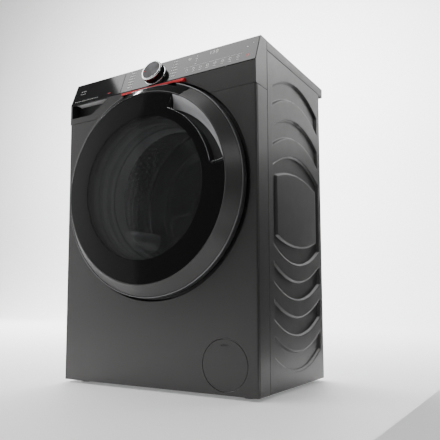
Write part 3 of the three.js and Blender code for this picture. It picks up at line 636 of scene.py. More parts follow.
def control_fascia():
    back, top = SIDE_FRONT - 0.3 * MM, TOP_Z - 0.3 * MM
    section = [(FRONT, SEAM_Z + 0.5 * MM), (FRONT, GLASS_FOOT - 1.4 * MM), slope_pair(0.2, 3.4),
               slope_pair(73, 3.4), (deep(31), top), (back, top), (back, top - 2 * MM),
               (deep(33), top - 2 * MM), slope_pair(0, 5.4), (deep(2), GLASS_FOOT - 4 * MM),
               (deep(2), SEAM_Z + 0.5 * MM)]
    inner = HALF - 1.2 * MM
    body = prism("fascia_body", section, "x", -inner, inner, GRAPHITE)
    hole = disc("hole", 284 * MM, FRONT - 0.01, FRONT + 0.004, 0, AXIS_Z, GRAPHITE, 176)
    clipped(hole, 0, CEILING, GRAPHITE)
    boolean(body, hole)
    boolean(body, prism("grip", grip_outline(0), "y", FRONT - 0.01, FRONT + 0.004, GRAPHITE))
    drawer_right = high("drawer_front").x - 4 * MM
    boolean(body, block("hole", (-HALF + 6 * MM, drawer_right), (FRONT - 0.01, FRONT + 0.032),
                        (GLASS_FOOT - 0.5 * MM, TOP_Z - 2.8 * MM), GRAPHITE))
    bevelled(body, 0.45, 2, 50)
    outline = [(deep(0.2), SEAM_Z + 0.5 * MM), (deep(0.2), GLASS_FOOT - 0.5 * MM),
               (deep(27.4), top), (back, top), (back, SEAM_Z + 0.5 * MM)]
    cheeks = [bevelled(prism("cheek", outline, "x", side * HALF, side * (HALF - SHEET), GRAPHITE), 0.6, 3)
              for side in (-1, 1)]
    dish = smooth(recess_dish("fascia_dish", SEAM_Z + 0.5 * MM, CEILING), 30)
    reach = math.sqrt((RECESS_R + 2.4) ** 2 - 264 ** 2) * MM
    roof = bevelled(block("roof", (-reach, reach), (deep(0.3), deep(13.4)),
                          (CEILING - 0.2 * MM, CEILING + 1.5 * MM), GRAPHITE), 0.4)
    liner = prism("liner", grip_outline(1.3), "y", deep(0.5), deep(29), BLACK)
    boolean(liner, prism("inner", grip_outline(0), "y", FRONT - 0.01, deep(27.5), BLACK))
    bevelled(liner, 0.5)
    fit(joined("control_fascia_skin", [body, *cheeks, dish, roof, liner]), "cabinet", "graphite_paint",
        "control_fascia")


control_fascia()


def accent_strip():
    foot, top = low("accent_strip").z, high("accent_strip").z
    outline = [(-100.5 * MM, foot), (100.5 * MM, foot), (103 * MM, top), (-103 * MM, top)]
    strip = prism("accent_bar", outline, "y", deep(-8), deep(-0.3), RED)
    fit(bevelled(strip, 1.1, 4), "cabinet", "accent_red", "accent_strip")


accent_strip()


def slope_slab(name, x0, x1, material):
    """A slanted glass slab, its edges eased."""
    slab = block(name, (x0, x1), (0, 3 * MM), (0.8 * MM, (SLOPE_LENGTH - 0.8) * MM), material)
    bevelled(slab, 0.7, 3)
    return moved(slab, TO_SLOPE)


fit(slope_slab("touch_glass_slab", low("touch_glass").x, high("touch_glass").x, GLASS_BLACK),
    "cabinet", "smoked_glass", "touch_glass")
fit(slope_slab("drawer_glass_slab", low("drawer_front").x, high("drawer_front").x, GLASS_BLACK),
    "drawer", "smoked_glass", "drawer_front")


# Printed marks on the glass, made to glow faintly as painted light

def glyph_plate(x, up, width, height, lean=0.0):
    """A thin printed bar on the glass, centred at (x, up), in mm."""
    w, h = width / 2, height / 2
    corners = [(-w, -h), (w, -h), (w, h), (-w, h)]
    turn = math.radians(lean)
    points = []
    for depth in (-0.12, 0.01):
        for u, v in corners:
            a = u * math.cos(turn) - v * math.sin(turn)
            b = u * math.sin(turn) + v * math.cos(turn)
            points.append(tuple(on_slope(x + a, up + b, depth)))
    faces = [(0, 1, 2, 3), (7, 6, 5, 4)] + [(i, (i + 1) % 4, 4 + (i + 1) % 4, 4 + i) for i in range(4)]
    return points, faces


def glyph_ring(x, up, radius, stroke, sides=14):
    """A printed circle as short bars."""
    length = 2 * radius * math.tan(math.pi / sides)
    return [glyph_plate(x + radius * math.cos(a), up + radius * math.sin(a), stroke, length,
                        math.degrees(a)) for a in (2 * math.pi * i / sides for i in range(sides))]


def print_marks(name, plates, material, body):
    points, faces = [], []
    for plate_points, plate_faces in plates:
        start = len(points)
        points += plate_points
        faces += [tuple(start + k for k in face) for face in plate_faces]
    mesh = bpy.data.meshes.new(name)
    mesh.from_pydata(points, [], faces)
    marks = link_mesh(name, mesh, material)
    fit(marks, body, "white_plastic" if material is WHITE_PRINT_GLOWING else "accent_red")


SEGMENTS = {"1": "bc", "3": "abgcd", "0": "abcdef", "5": "afgcd"}


def digit(x, up, size, shape):
    """Seven-segment digit: bars a to g."""
    w, h = size * 0.5, size
    bars = {"a": (0, h / 2, w, 0), "d": (0, -h / 2, w, 0), "g": (0, 0, w, 0),
            "b": (w / 2, h / 4, 0, h / 2), "c": (w / 2, -h / 4, 0, h / 2),
            "e": (-w / 2, -h / 4, 0, h / 2), "f": (-w / 2, h / 4, 0, h / 2)}
    stroke = 0.9
    return [glyph_plate(x + bars[s][0], up + bars[s][1], max(bars[s][2], stroke), max(bars[s][3], stroke))
            for s in SEGMENTS[shape]]


def panel_marks():
    """Generic programme ticks, a clock, a level scale and a row of key symbols."""
    dice = random.Random(7)
    white, red = [], []
    for k in range(7):
        up = 14 + 9.7 * k
        for side, x in ((1, 49 + 0.6 * k), (-1, -78 + 0.3 * k)):
            white.append(glyph_plate(x, up, 1.3, 1.3))
            length = dice.uniform(9, 17)
            white.append(glyph_plate(x + side * (4 + length / 2), up, length, 0.7))
    for x, shape in ((160, "1"), (171, "3"), (181, "0")):
        white += digit(x, 60, 9, shape)
    white += [glyph_plate(165.2, 62, 1, 1), glyph_plate(165.2, 58, 1, 1)]
    white += [glyph_plate(123, 36 + 5.6 * k, 5 if k % 3 == 0 else 3, 0.8) for k in range(6)]
    white += glyph_ring(101, 57, 3.6, 0.7)
    white.append(glyph_plate(101, 57, 1.6, 2.4))
    for k, x in enumerate((100, 121, 141, 162, 183, 205, 226, 248)):
        white += glyph_ring(x, 21, 2.9, 0.6, 4 + 2 * (k % 3))
        white.append(glyph_plate(x, 12.5, dice.uniform(6, 10), 0.6))
    white.append(glyph_plate(176, 29.5, 168, 0.35))
    red += glyph_ring(273, 18, 3.4, 0.8)
    white += [glyph_plate(283, 54, 3, 0.8), glyph_plate(269, 46, 5, 0.7)]
    print_marks("control_marks", white, WHITE_PRINT_GLOWING, "cabinet")
    print_marks("control_marks_red", red, RED_PRINT_GLOWING, "cabinet")
    print_marks("drawer_mark_red", [glyph_plate(-160 + 3 * k, 12 + 0.6 * k, 2.2, 1.6) for k in range(3)],
                RED_PRINT_GLOWING, "drawer")
    label = [glyph_plate(-270 + 7 * i, 44 - 9 * j, 4.2, 0.9) for i in range(3) for j in range(2)]
    label += [glyph_plate(-282 + 6.4 * i, 9, dice.uniform(3.2, 5.2), 0.8) for i in range(14)]
    print_marks("drawer_marks", label, WHITE_PRINT_GLOWING, "drawer")


panel_marks()


# Worktop

def worktop():
    """A pressed lid: rolled outer edges, a shallow step along its foot."""
    a, b = low("worktop"), high("worktop")
    outer = block("worktop_skin", (a.x, b.x), (a.y, b.y), (a.z, b.z), GRAPHITE)
    bevelled(outer, 2.2, 4)
    wall = 3 * MM
    boolean(outer, block("hollow", (a.x + wall, b.x - wall), (a.y - 0.01, b.y - wall),
                         (a.z - 0.01, b.z - 2.5 * MM), GRAPHITE))
    for side in (-1, 1):
        step = block("step", (side * HALF - 0.0009, side * HALF + 0.0009), (a.y - 0.01, b.y + 0.01),
                     (a.z - 0.01, a.z + 0.0022), GRAPHITE)
        boolean(outer, step)
    fit(smooth(outer), "cabinet", "graphite_paint", "worktop")


worktop()


# Programme knob

KNOB_AT = (-2, 33.5)  # across and up the slope, mm


def turned(name, profile, material, segments=120, ribs=0, rib_depth=0.0, steps=4):
    """Spins an (r, depth) profile in mm about the Y axis; ribs flute the widest part."""
    profile = eased(profile, steps)
    widest = max(r for r, depth in profile)
    points, faces = [], []
    n = len(profile)
    for i in range(segments):
        angle = 2 * math.pi * i / segments
        flute = rib_depth * 0.5 * (1 - math.cos(ribs * angle)) if ribs else 0.0
        for r, depth in profile:
            radius = (r - (flute if widest - r < 0.6 else 0)) * MM
            points.append((radius * math.cos(angle), depth * MM, radius * math.sin(angle)))
    for i in range(segments):
        a, b = i * n, ((i + 1) % segments) * n
        faces += [(a + k, a + (k + 1) % n, b + (k + 1) % n, b + k) for k in range(n)]
    return from_faces(name, points, faces, material)


def spun_metal():
    """Dark turned metal: fine rings about the knob's own axis catch the light in two fans."""
    material, nodes, links, shader = new_material("spun_dark_metal", {"Metallic": 1.0, "Anisotropic": 0.85})
    tangent = nodes.new("ShaderNodeTangent")
    tangent.direction_type = "RADIAL"
    tangent.axis = "Y"
    links.new(tangent.outputs["Tangent"], shader.inputs["Tangent"])
    drift = noise(nodes, links, 60, 2)
    metal = two_tone(nodes, links, drift, (0.026, 0.026, 0.027), (0.044, 0.044, 0.046))
    links.new(metal, shader.inputs["Base Color"])
    gloss(nodes, links, shader, noise(nodes, links, 500, 2), 0.28, 0.38)
    return material


def knob():
    place = TO_SLOPE @ at(KNOB_AT[0] * MM, 0, KNOB_AT[1] * MM)
    base = turned("knob_foot", [(3, -0.4), (32.2, -0.4, 0.3), (32.2, -2.4, 0.7),
                                        (30.6, -3.0, 0.3), (3, -3.0)], CHROME)
    stem = turned("knob_stem", [(0.01, 8), (3.4, 8), (3.4, -0.5), (0.01, -0.5)], BLACK, 24)
    grip = turned("knob_grip", [(0.01, -3.0), (30.7, -3.0, 0.5), (30.7, -16.6, 0.6), (0.01, -16.6)],
                  TRIM_BLACK, 480, ribs=60, rib_depth=0.8)
    rim = turned("knob_rim", [(26.6, -16.8, 0.2), (31.1, -16.8, 0.4), (31.2, -19.6, 1.4),
                                      (28.4, -22.0, 0.8), (26.4, -21.3, 0.2)], CHROME)
    smooth(base, 40)
    smooth(stem, 40)
    smooth(grip, 55, weighted=False)
    smooth(rim, 50)
    fit(moved(joined("knob_body_turned", [grip, stem, base]), place), "programme_knob", "black_plastic",
        "knob_body")
    fit(moved(rim, place), "programme_knob", "chrome", "knob_ring")
    cap = turned("knob_cap_turned", [(0.01, -17.2), (26.2, -17.2), (26.2, -20.9, 0.4),
                                             (0.01, -21.3)], spun_metal())
    fit(moved(smooth(cap, 40), place), "programme_knob", "cast_alloy", "knob_cap")
    tick = block("knob_tick", (-0.0255, -0.0205), (-0.0214, -0.0208), (-0.0007, 0.0007), RED_PRINT_GLOWING)
    fit(moved(bevelled(tick, 0.15, 2), place), "programme_knob", "accent_red")


knob()


# Door

RING_END = 141.5  # degrees: the metal ring runs from here, under the door and up, to RING_START
RING_START = 62
CHORD = 260 * MM  # height of the door's flat top above its middle
POCKET_LOW, POCKET_HIGH = 9, 68  # degrees
WINDOW_R = 181
CREST_LINE_ARC = (76, 101)  # degrees: the satin line along the door's flat top
THIN_ARC = 0.15  # degrees, half the thickness of a plate that closes an arc's end

SATIN = surface("satin_grey_metal", (0.16, 0.16, 0.165), (0.20, 0.20, 0.205), 0.34, 0.8,
                relief=0.04)
# Painted light: the pocket's satin is made pale grey to stand in for the light it catches from the white
# floor.
POCKET_SATIN_PAINTED_LIGHT = surface("pocket_satin_painted_light", (0.30, 0.30, 0.31), (0.36, 0.36, 0.37), 0.42, 0.2, grain=900, relief=0.04)


def hinge_room(piece, front=-22):
    tool = block("room", (-0.4, -0.232), (deep(front), FRONT + 0.1), (AXIS_Z - 0.047, AXIS_Z + 0.047), BLACK)
    return boolean(piece, tool)


def arc_piece(name, profile, material, a0, a1, segments=200, steps=4):
    return lathe(name, profile, material, segments, a0, a1, steps=steps)


def door_ring():
    """A bevelled metal ring with a bright lip round its edge, open across the top."""
    bevel = [(270.6, -17.6, 0.5), (243.3, -45.3, 1.2), (240.6, -44.8, 0.6), (240.6, -26.2),
                     (243.2, -26.2), (243.2, -42.4, 0.4), (269.4, -14.8)]
    face = arc_piece("ring_bevel", bevel, GRAPHITE, RING_END, 360 + RING_START, steps=5)
    lip = [(270.9, -18.9, 0.4), (272.4, -19.2, 1.0), (274, -17.4, 0.8), (274, -2.2, 0.5),
                   (271.6, -2.0, 0.3), (271.6, -15.0)]
    chord_end = math.degrees(math.acos(CHORD / (274 * MM)))
    edge = arc_piece("ring_lip", lip, SATIN, 90 + chord_end, 450 - chord_end, steps=4)
    ends = []
    for angle in (RING_END + 0.2, 360 + RING_START - 0.2):
        plate = rounded([(273.2, -4, 0.5), (273.2, -17, 0.5), (270, -19.2, 0.5), (242.6, -44.6, 0.5),
                         (241, -44, 0.5), (241, -27, 0.5), (256, -14, 0.5)], 2)
        ends.append(arc_piece("ring_end", plate, TRIM_BLACK, angle - THIN_ARC, angle + THIN_ARC, 6000))
    hinge_room(face)
    hinge_room(edge)
    fit(joined("door_ring_bevel", [smooth(face), smooth(edge), *[smooth(e) for e in ends]]),
        "door", "graphite_paint", "door_ring")


def cover_profile(inner, outer):
    """The dished cover's section between two radii."""
    dish = [(0.01, -48.0), (60, -47.9), (120, -47.5), (160, -47.05), (WINDOW_R, -46.75), (200, -46.5),
            (240, -45.2)]
    front = [p for p in dish if inner <= p[0] <= outer]
    return front + [(r, d + 3) for r, d in reversed(front)]


def pocket_tool(grow=0.0):
    """The finger pocket's room: a segment of a ring with rounded corners, as a wedge in angle."""
    a0, a1 = math.radians(POCKET_LOW), math.radians(POCKET_HIGH)
    inner, outer = (205 - grow) * MM, (243 + grow) * MM
    corner = 5 * MM
    outline = []
    steps = 60
    for i in range(steps + 1):
        a = a0 + (a1 - a0) * i / steps
        outline.append((outer * math.cos(a), outer * math.sin(a)))
    for i in range(steps + 1):
        a = a1 + (a0 - a1) * i / steps
        into = min(a - a0, a1 - a) * inner
        ease = max(0.0, 1 - into / corner)
        radius = inner + corner * (1 - math.sqrt(max(0.0, 1 - ease * ease)))
        outline.append((radius * math.cos(a), radius * math.sin(a)))
    return [(x, AXIS_Z + z) for x, z in outline]


def pocket_crescent():
    """The pocket's grip surface, painted pale grey as a stand-in for the floor's light falling on it: it
    widens and sinks inwards towards the top.
    """
    columns, rows = 60, 8
    points = []
    for i in range(columns + 1):
        t = i / columns
        angle = math.radians(POCKET_LOW + 2 + (POCKET_HIGH - POCKET_LOW - 3) * t)
        width = 33 * t ** 0.75
        for j in range(rows + 1):
            v = j / rows
            r = (240.3 - width * v) * MM
            d = (-44.9 + 20 * t ** 0.5 * math.sin(v * math.pi / 2)) * MM
            points.append((r * math.cos(angle), FRONT + d, AXIS_Z + r * math.sin(angle)))
    return thickened(from_faces("pocket_crescent", points, grid_faces(rows, columns), POCKET_SATIN_PAINTED_LIGHT), 0.8)


def door_cover():
    window = smooth(lathe("cover_window", cover_profile(0, WINDOW_R), COVER, 176), 30)
    border = lathe("cover_border", cover_profile(WINDOW_R, 240), TRIM_BLACK, 176)
    boolean(border, prism("pocket", pocket_tool(), "y", FRONT - 0.06, FRONT, BLACK))
    bevelled(border, 0.4, 2, 50)
    crest = [(240.2, -45.2), (243, -45.4, 1.5), (273.5, -15.6, 1), (273.5, -4, 0.5), (271.2, -4),
                     (271.2, -14.6), (242.4, -42.4), (240.2, -42.2)]
    top = arc_piece("cover_crest", crest, TRIM_BLACK, RING_START + 0.4, RING_END - 0.4, steps=4)
    clipped(top, 0, AXIS_Z + CHORD, GRAPHITE)
    bevelled(top, 0.5, 2, 50)
    reach = 95 * MM
    lid = block("cover_top", (-reach, reach), (deep(-24), deep(-3)),
                (AXIS_Z + CHORD - 1.4 * MM, AXIS_Z + CHORD), TRIM_BLACK)
    boolean(lid, disc("trim", 273 * MM, FRONT - 0.1, FRONT + 0.1, 0, AXIS_Z, TRIM_BLACK, 176), "INTERSECT")
    bevelled(lid, 0.4)
    floor = bevelled(prism("pocket_floor", pocket_tool(1.2), "y", deep(-22), deep(-20.6), BLACK), 0.4, 2)
    walls = [smooth(arc_piece("pocket_wall", [(203.8, -45), (205, -45), (205, -21), (203.8, -21)], BLACK,
                              POCKET_LOW, POCKET_HIGH))]
    for angle in (POCKET_LOW - THIN_ARC, POCKET_HIGH + THIN_ARC):
        end = arc_piece("pocket_end", [(204, -45), (240.4, -44.6), (240.4, -21), (204, -21)], BLACK,
                        angle - THIN_ARC, angle + THIN_ARC, 6000)
        walls.append(smooth(end))
    section = [(240, -46.4), (243.4, -46.4), (274, -16.8), (274, -14), (240, -43)]
    crest_line = arc_piece("crest_line", section, SATIN, *CREST_LINE_ARC)
    clipped(crest_line, AXIS_Z + CHORD - 2.2 * MM, AXIS_Z + CHORD, SATIN)
    bevelled(crest_line, 0.3, 2, 50)
    fit(joined("door_cover_glass", [border, window, top, lid, floor, *walls, crest_line]), "door",
        "smoked_glass", "door_cover")
    fit(smooth(pocket_crescent(), 60), "door", "zinc_steel")
    trim = [(204.8, -46.9, 0.2), (205.6, -46.9, 0.2), (205.6, -44), (204.8, -44)]
    line = smooth(arc_piece("pocket_line", trim, CHROME, POCKET_LOW + 2.5, POCKET_HIGH - 1, steps=2))
    foot_angle = math.radians(POCKET_LOW + 1.2)
    along = Vector((math.cos(foot_angle), 0, math.sin(foot_angle)))
    sill = block("pocket_sill", (0, 0.0325), (0, 0.003), (-0.0004, 0.0004), CHROME)
    sill = moved(bevelled(sill, 0.15, 2), Matrix.Translation(
        Vector((0, FRONT - 0.0468, AXIS_Z)) + along * 0.2065) @ Matrix.Rotation(-foot_angle, 4, "Y"))
    fit(joined("pocket_edge_line", [line, sill]), "door", "chrome")


door_ring()
door_cover()


FRAME_SCREW_R = 228 * MM
FRAME_SCREW_ANGLES = (20, 65, 115, 150, 205, 240, 270, 300, 335)  # degrees
FRAME_TOP = 255 * MM  # above the door's middle


def door_frame():
    """The door's dark back ring, with a drip groove and screws round it."""
    section = [(187, -16.2, 0.6), (262, -13.6, 2.5), (265.6, -9, 2.5), (262, -3.2, 2.5),
                       (246, -2.6, 1), (244, -4.4, 1), (240, -4.4, 1), (238, -2.4, 1), (198, -2.2, 2),
                       (187, 2.6, 1.5)]
    ring = lathe("frame_ring", section, BLACK, 176, steps=3)
    hinge_room(ring)
    boolean(ring, block("hook_room", (0.206, 0.222), (FRONT - 0.03, FRONT + 0.03),
                        (AXIS_Z - 0.014, AXIS_Z + 0.014), BLACK))
    clipped(ring, 0, AXIS_Z + FRAME_TOP, BLACK)
    bevelled(ring, 0.4, 2, 50)
    screws = []
    for angle in FRAME_SCREW_ANGLES:
        a = math.radians(angle)
        head = turned("frame_screw", [(0.01, 3.0), (2.6, 2.6, 0.8), (3.6, 1.4, 0.6), (3.6, -0.6),
                                              (0.01, -0.6)], ZINC, 20, steps=3)
        for turn in (0, math.pi / 2):
            slot = block("slot", (-0.0021, 0.0021), (0.0019, 0.004), (-0.0004, 0.0004), ZINC)
            boolean(head, moved(slot, Matrix.Rotation(turn, 4, "Y")))
        screws.append(moved(smooth(head, 40), at(
            FRAME_SCREW_R * math.cos(a), FRONT - 0.0026, AXIS_Z + FRAME_SCREW_R * math.sin(a))))
    fit(joined("door_back_ring", [ring, *screws]), "door", "black_plastic", "door_frame")


def door_bowl():
    """The thick glass bowl that reaches into the drum's mouth."""
    section = [(0.01, 60), (90, 59.4, 10), (132, 56, 26), (161, 40, 16), (174.4, 4, 12),
                       (182.6, -16.3, 3), (193.6, -16.3, 1.2), (193.6, -19.4, 1.2), (177.4, -19.4, 3),
                       (169, 2, 12), (155.6, 36.6, 14), (127, 51.4, 24), (88, 54.8, 10), (0.01, 55.6)]
    bowl = smooth(lathe("bowl_glass_spun", section, BOWL, 176, steps=6), 50)
    fit(bowl, "door", "clear_glass", "door_glass")


def door_hinge():
    """Cast arm on the door, with its knuckle and bolts; the bent bracket and headed pin on the cabinet are
    the CAD's own.
    """
    a, b = low("hinge_arm"), high("hinge_arm")
    pivot = Vector(joint_named("door_hinge")["pos_m"])
    outline = [(pivot.x, a.z + 0.006), (pivot.x + 0.012, a.z), (b.x - 0.010, a.z), (b.x, a.z + 0.010),
               (b.x, b.z - 0.010), (b.x - 0.010, b.z), (pivot.x + 0.012, b.z), (pivot.x, b.z - 0.006)]
    leaf = prism("hinge_leaf", outline, "y", a.y, a.y + 0.003, ALLOY)
    bevelled(leaf, 0.8, 3)
    knuckle = turned("knuckle", [(3.3, -29, 0.4), (6.2, -29, 0.8), (6.2, 29, 0.8), (3.3, 29, 0.4)],
                     ALLOY, 48, steps=3)
    moved(smooth(knuckle, 40), at(*pivot) @ UPRIGHT)
    bolts = []
    for dz in (-18, 0, 18):
        head = turned("bolt", [(0.01, -2.2), (4.6, -2.2, 0.6), (4.6, 0.4), (0.01, 0.4)], ZINC, 6, steps=3)
        bolts.append(moved(smooth(head, 25), at(b.x - 0.014, a.y, AXIS_Z + dz * MM)))
    fit(joined("hinge_arm_cast", [leaf, knuckle, *bolts]), "door", "cast_alloy", "hinge_arm")


def door_hook():
    """The latch's steel hook: a nose that drops behind the lock's keeper."""
    a, b = low("door_hook"), high("door_hook")
    outline = [(a.y, -6), (deep(18), -6), (deep(18.5), -11.6), (deep(21.5), -11.8),
               (b.y - 0.0004, -6.4), (b.y, 2), (b.y - 0.003, 6), (a.y, 6)]
    outline = [(y, AXIS_Z + z * MM) for y, z in outline]
    hook = bevelled(prism("hook_nose", outline, "x", a.x, b.x, ZINC), 0.6, 3)
    fit(hook, "door_latch", "zinc_steel", "door_hook")


door_frame()
door_bowl()
door_hinge()
door_hook()


# Gasket

def gasket():
    """Grey bellows between the front panel's port and the tub's neck."""
    section = [(177.4, 8.4, 4), (188.2, 8.2, 1.5), (188.2, 27, 6), (200.6, 34, 5),
                       (200.6, 46, 5), (187, 53, 6), (187, 75.6, 1), (181.8, 75.6, 1), (181.8, 49, 6),
                       (194.6, 42.4, 3), (194.6, 37.6, 3), (182.4, 31, 6), (177.4, 22, 5)]
    bellows = smooth(lathe("door_gasket", section, SEAL, 176, steps=5), 60)
    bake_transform(bellows)
    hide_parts("gasket")


gasket()


# Drum

DRUM = low("drum"), high("drum")
DRUM_R = (DRUM[1].x - DRUM[0].x) / 2 / MM - 0.3
DRUM_FRONT = (DRUM[0].y - FRONT) / MM
DRUM_BACK = (DRUM[1].y - FRONT) / MM
CELLS, ROWS = 84, 9
LIFTER_ANGLES = (205, 325, 85)  # degrees
CORNER = 9  # mm, rolled edge between the drum's wall and its ends


def barrel_point(angle, d, inward):
    radius = (DRUM_R - inward) * MM
    return (radius * math.cos(angle), deep(d), AXIS_Z + radius * math.sin(angle))


def drum_wall():
    """The perforated wall: every cell holds one pressed dimple with a hole in it."""
    d0, d1 = DRUM_FRONT + CORNER, DRUM_BACK - CORNER
    pitch_a, pitch_d = 2 * math.pi / CELLS, (d1 - d0) / ROWS
    rings = [(7.0, 0.0), (4.8, 1.7), (2.2, 2.3)]
    points, faces = [], []
    for row in range(ROWS):
        middle = d0 + (row + 0.5) * pitch_d
        for cell in range(CELLS):
            centre = (cell + (0.5 if row % 2 else 0)) * pitch_a
            base = len(points)
            for k in range(8):
                a, b = ((1, 0), (1, 1), (0, 1), (-1, 1), (-1, 0), (-1, -1), (0, -1), (1, -1))[k]
                points.append(barrel_point(centre + a * pitch_a / 2, middle + b * pitch_d / 2, 0))
            for radius, inward in rings:
                for k in range(8):
                    a = k * math.pi / 4
                    points.append(barrel_point(centre + radius * math.cos(a) / DRUM_R,
                                               middle + radius * math.sin(a), inward))
            for ring in range(len(rings)):
                for k in range(8):
                    m = (k + 1) % 8
                    i = base + 8 * ring
                    faces.append((i + k, i + m, i + 8 + m, i + 8 + k))
    return from_faces("drum_wall", points, faces, STEEL)


def emboss(r, angle):
    """Height of the back wall's pressing: a ring, a boss and three arms."""
    ring = max(0.0, 1 - abs(r - 176) / 13)
    boss = max(0.0, min(1.0, (86 - r) / 12))
    arm_turn = math.cos(3 * (angle - math.radians(85)))
    arm = max(0.0, min(1.0, (arm_turn - 0.55) * 5)) * max(0.0, min(1.0, (164 - r) / 10))
    t = max(min(1.0, 1.6 * ring), boss, arm)
    return 5.5 * t * t * (3 - 2 * t)


def drum_end(name, profile, segments, material):
    """An end of the drum, spun and then pressed."""
    end = lathe(name, profile, material, segments, closed=False)
    for vertex in end.data.vertices:
        x, z = vertex.co.x / MM, (vertex.co.z - AXIS_Z) / MM
        r = math.hypot(x, z)
        if vertex.co.y > FRONT + (DRUM_BACK - 3) * MM and r < 205:
            vertex.co.y -= emboss(r, math.atan2(z, x)) * MM
    return end


def drum():
    round_in = [(DRUM_R - CORNER * (1 - math.sin(a)), CORNER * (1 - math.cos(a)))
                for a in (math.radians(15 * k) for k in range(7))]
    front = rounded([(192.5, DRUM_FRONT + 5), (190.3, DRUM_FRONT + 2.2, 1),
                     (192.5, DRUM_FRONT + 0.6, 1.5), (DRUM_R - CORNER - 0.1, DRUM_FRONT + 0.6)], 4)
    front += [(r, DRUM_FRONT + max(0.6, d)) for r, d in round_in]
    back = [(0.5 + 3.9 * k, DRUM_BACK - 0.6) for k in range(60) if 0.5 + 3.9 * k < DRUM_R - CORNER]
    back += [(r, DRUM_BACK - max(0.6, d)) for r, d in round_in]
    # The back end takes the darkened steel: painted shade for the deep back of the drum.
    parts = [drum_wall(), drum_end("drum_front", front, 144, STEEL),
             drum_end("drum_back", back, 216, PAINTED_SHADE_BACK_STEEL)]
    shell = joined("drum_perforated", parts)
    work = bmesh.new()
    work.from_mesh(shell.data)
    bmesh.ops.remove_doubles(work, verts=work.verts, dist=2e-5)
    bmesh.ops.recalc_face_normals(work, faces=work.faces)
    work.to_mesh(shell.data)
    work.free()
    smooth(thickened(shell, 0.9), 50, weighted=False)
    fit(shell, "drum", "stainless", "drum")


def loft(name, sections, material):
    """A skin through closed sections of equal length, capped at both ends."""
    n = len(sections[0])
    points = [p for section in sections for p in section]
    faces = [tuple(range(n)), tuple(reversed(range(len(points) - n, len(points))))]
    for start in range(0, len(points) - n, n):
        faces += [(start + k, start + (k + 1) % n, start + n + (k + 1) % n, start + n + k) for k in range(n)]
    return from_faces(name, points, faces, material)


def lifter(index, angle):
    """A paddle with a domed crest, rounded ends and shallow flutes along its flanks."""
    turn = math.radians(angle)
    out, side = Vector((math.cos(turn), 0, math.sin(turn))), Vector((-math.sin(turn), 0, math.cos(turn)))
    foot, crest, reach = DRUM_R - 5.5, DRUM_R - 55.5, 92
    sections = []
    for k in range(33):
        t = -1 + 2 * k / 32
        swell = max(0.16, (1 - abs(t) ** 4.5)) ** 0.5
        height = (foot - crest) * swell
        section = []
        for j in range(25):
            u = -1 + 2 * j / 24
            rise = height * (1 - abs(u) ** 2.6) ** 0.85 if abs(u) < 1 else 0.0
            flute = 1.2 * math.cos(9 * math.pi * t) * (1 - u * u) * abs(u) * 2
            width = 27 * (0.72 + 0.28 * swell) * (1 - 0.34 * rise / (foot - crest)) * u
            point = out * (foot - rise) + side * (width + (flute if u > 0 else -flute))
            section.append((point.x * MM, FRONT + (204 + t * reach) * MM, AXIS_Z + point.z * MM))
        sections.append(section)
    fit(smooth(loft(f"drum_lifter_{index}_paddle", sections, PADDLE), 50), "drum", "grey_plastic",
        f"drum_lifter_{index}")


PADDLE = surface("paddle_grey", (0.20, 0.205, 0.21), (0.26, 0.265, 0.27), 0.38,
                 grain=1200, relief=0.1, coat=0.2)

drum()
for number, angle in enumerate(LIFTER_ANGLES, 1):
    lifter(number, angle)


# Detergent drawer

DIVIDERS = (-234 * MM, -180 * MM)


def drawer_tray():
    """Three-bay tray with rounded corners, a siphon cup and level ribs."""
    a, b = low("drawer_tray"), high("drawer_tray")
    lean = (b.z - GLASS_FOOT) * math.tan(SLOPE)
    front = deep(3.8)
    rise = (a.z - GLASS_FOOT) * math.tan(SLOPE)
    outline = [(front + rise, a.z), (b.y, a.z), (b.y, b.z), (front + lean, b.z)]
    tray = bevelled(prism("tray_body", outline, "x", a.x, b.x, WHITE), 1.6, 3)
    walls = [a.x, *DIVIDERS, b.x]
    for left, right in zip(walls, walls[1:]):
        bay = block("bay", (left + 0.002, right - 0.002), (FRONT + 0.036, b.y - 0.002),
                    (a.z + 0.002, b.z + 0.02), WHITE)
        boolean(tray, bevelled(bay, 5, 4))
    smooth(tray, 40)
    cup = turned("siphon_cup", [(6, 0), (13, 0, 2), (14, 26, 0.6), (12.6, 26, 0.6),
                                        (11.8, 1.4, 2), (6, 1.4)], PADDLE, 48)
    moved(smooth(cup, 50), at(-0.207, FRONT + 0.225, a.z + 0.004) @ UPRIGHT)
    parts = [tray, cup]
    for k in range(5):
        rib = block("rib", (-0.2855 + 0.0035, -0.2822),
                    (FRONT + (0.060 + 0.03 * k), FRONT + (0.0612 + 0.03 * k)),
                    (a.z + 0.006, b.z - 0.012), WHITE)
        parts.append(bevelled(rib, 0.3, 2))
    fit(joined("detergent_tray", parts), "drawer", "white_plastic", "drawer_tray")


drawer_tray()


# Service flap, filter cap and feet

def filter_flap():
    """A dished round flap flush with the front, with a coin slot near its top."""
    section = [(0.01, 0.05), (FLAP_R / MM - 1.0, 0.05, 0.5), (FLAP_R / MM, 0.9, 0.5),
                       (FLAP_R / MM, 1.8), (0.01, 1.8)]
    lid = turned("flap_lid", section, GRAPHITE, 144, steps=3)
    moved(lid, at(FLAP_X, FRONT, FLAP_Z))
    middle, half = FLAP_Z + 0.0455, 0.0098
    slot = [(FLAP_X - half - 0.0015, middle)]
    slot += [(FLAP_X - half + 0.002, middle + 0.0019), (FLAP_X + half - 0.002, middle + 0.0019),
             (FLAP_X + half + 0.0015, middle), (FLAP_X + half - 0.002, middle - 0.0019),
             (FLAP_X - half + 0.002, middle - 0.0019)]
    boolean(lid, prism("slot", slot, "y", FRONT - 0.001, FRONT + 0.005, BLACK))
    smooth(lid, 40)
    pocket = prism("slot_pocket", [(x, z) for x, z in slot], "y", FRONT + 0.0009, FRONT + 0.0017, BLACK)
    fit(joined("service_flap", [lid, bevelled(pocket, 0.2, 2)]), "flap", "graphite_paint", "filter_flap")


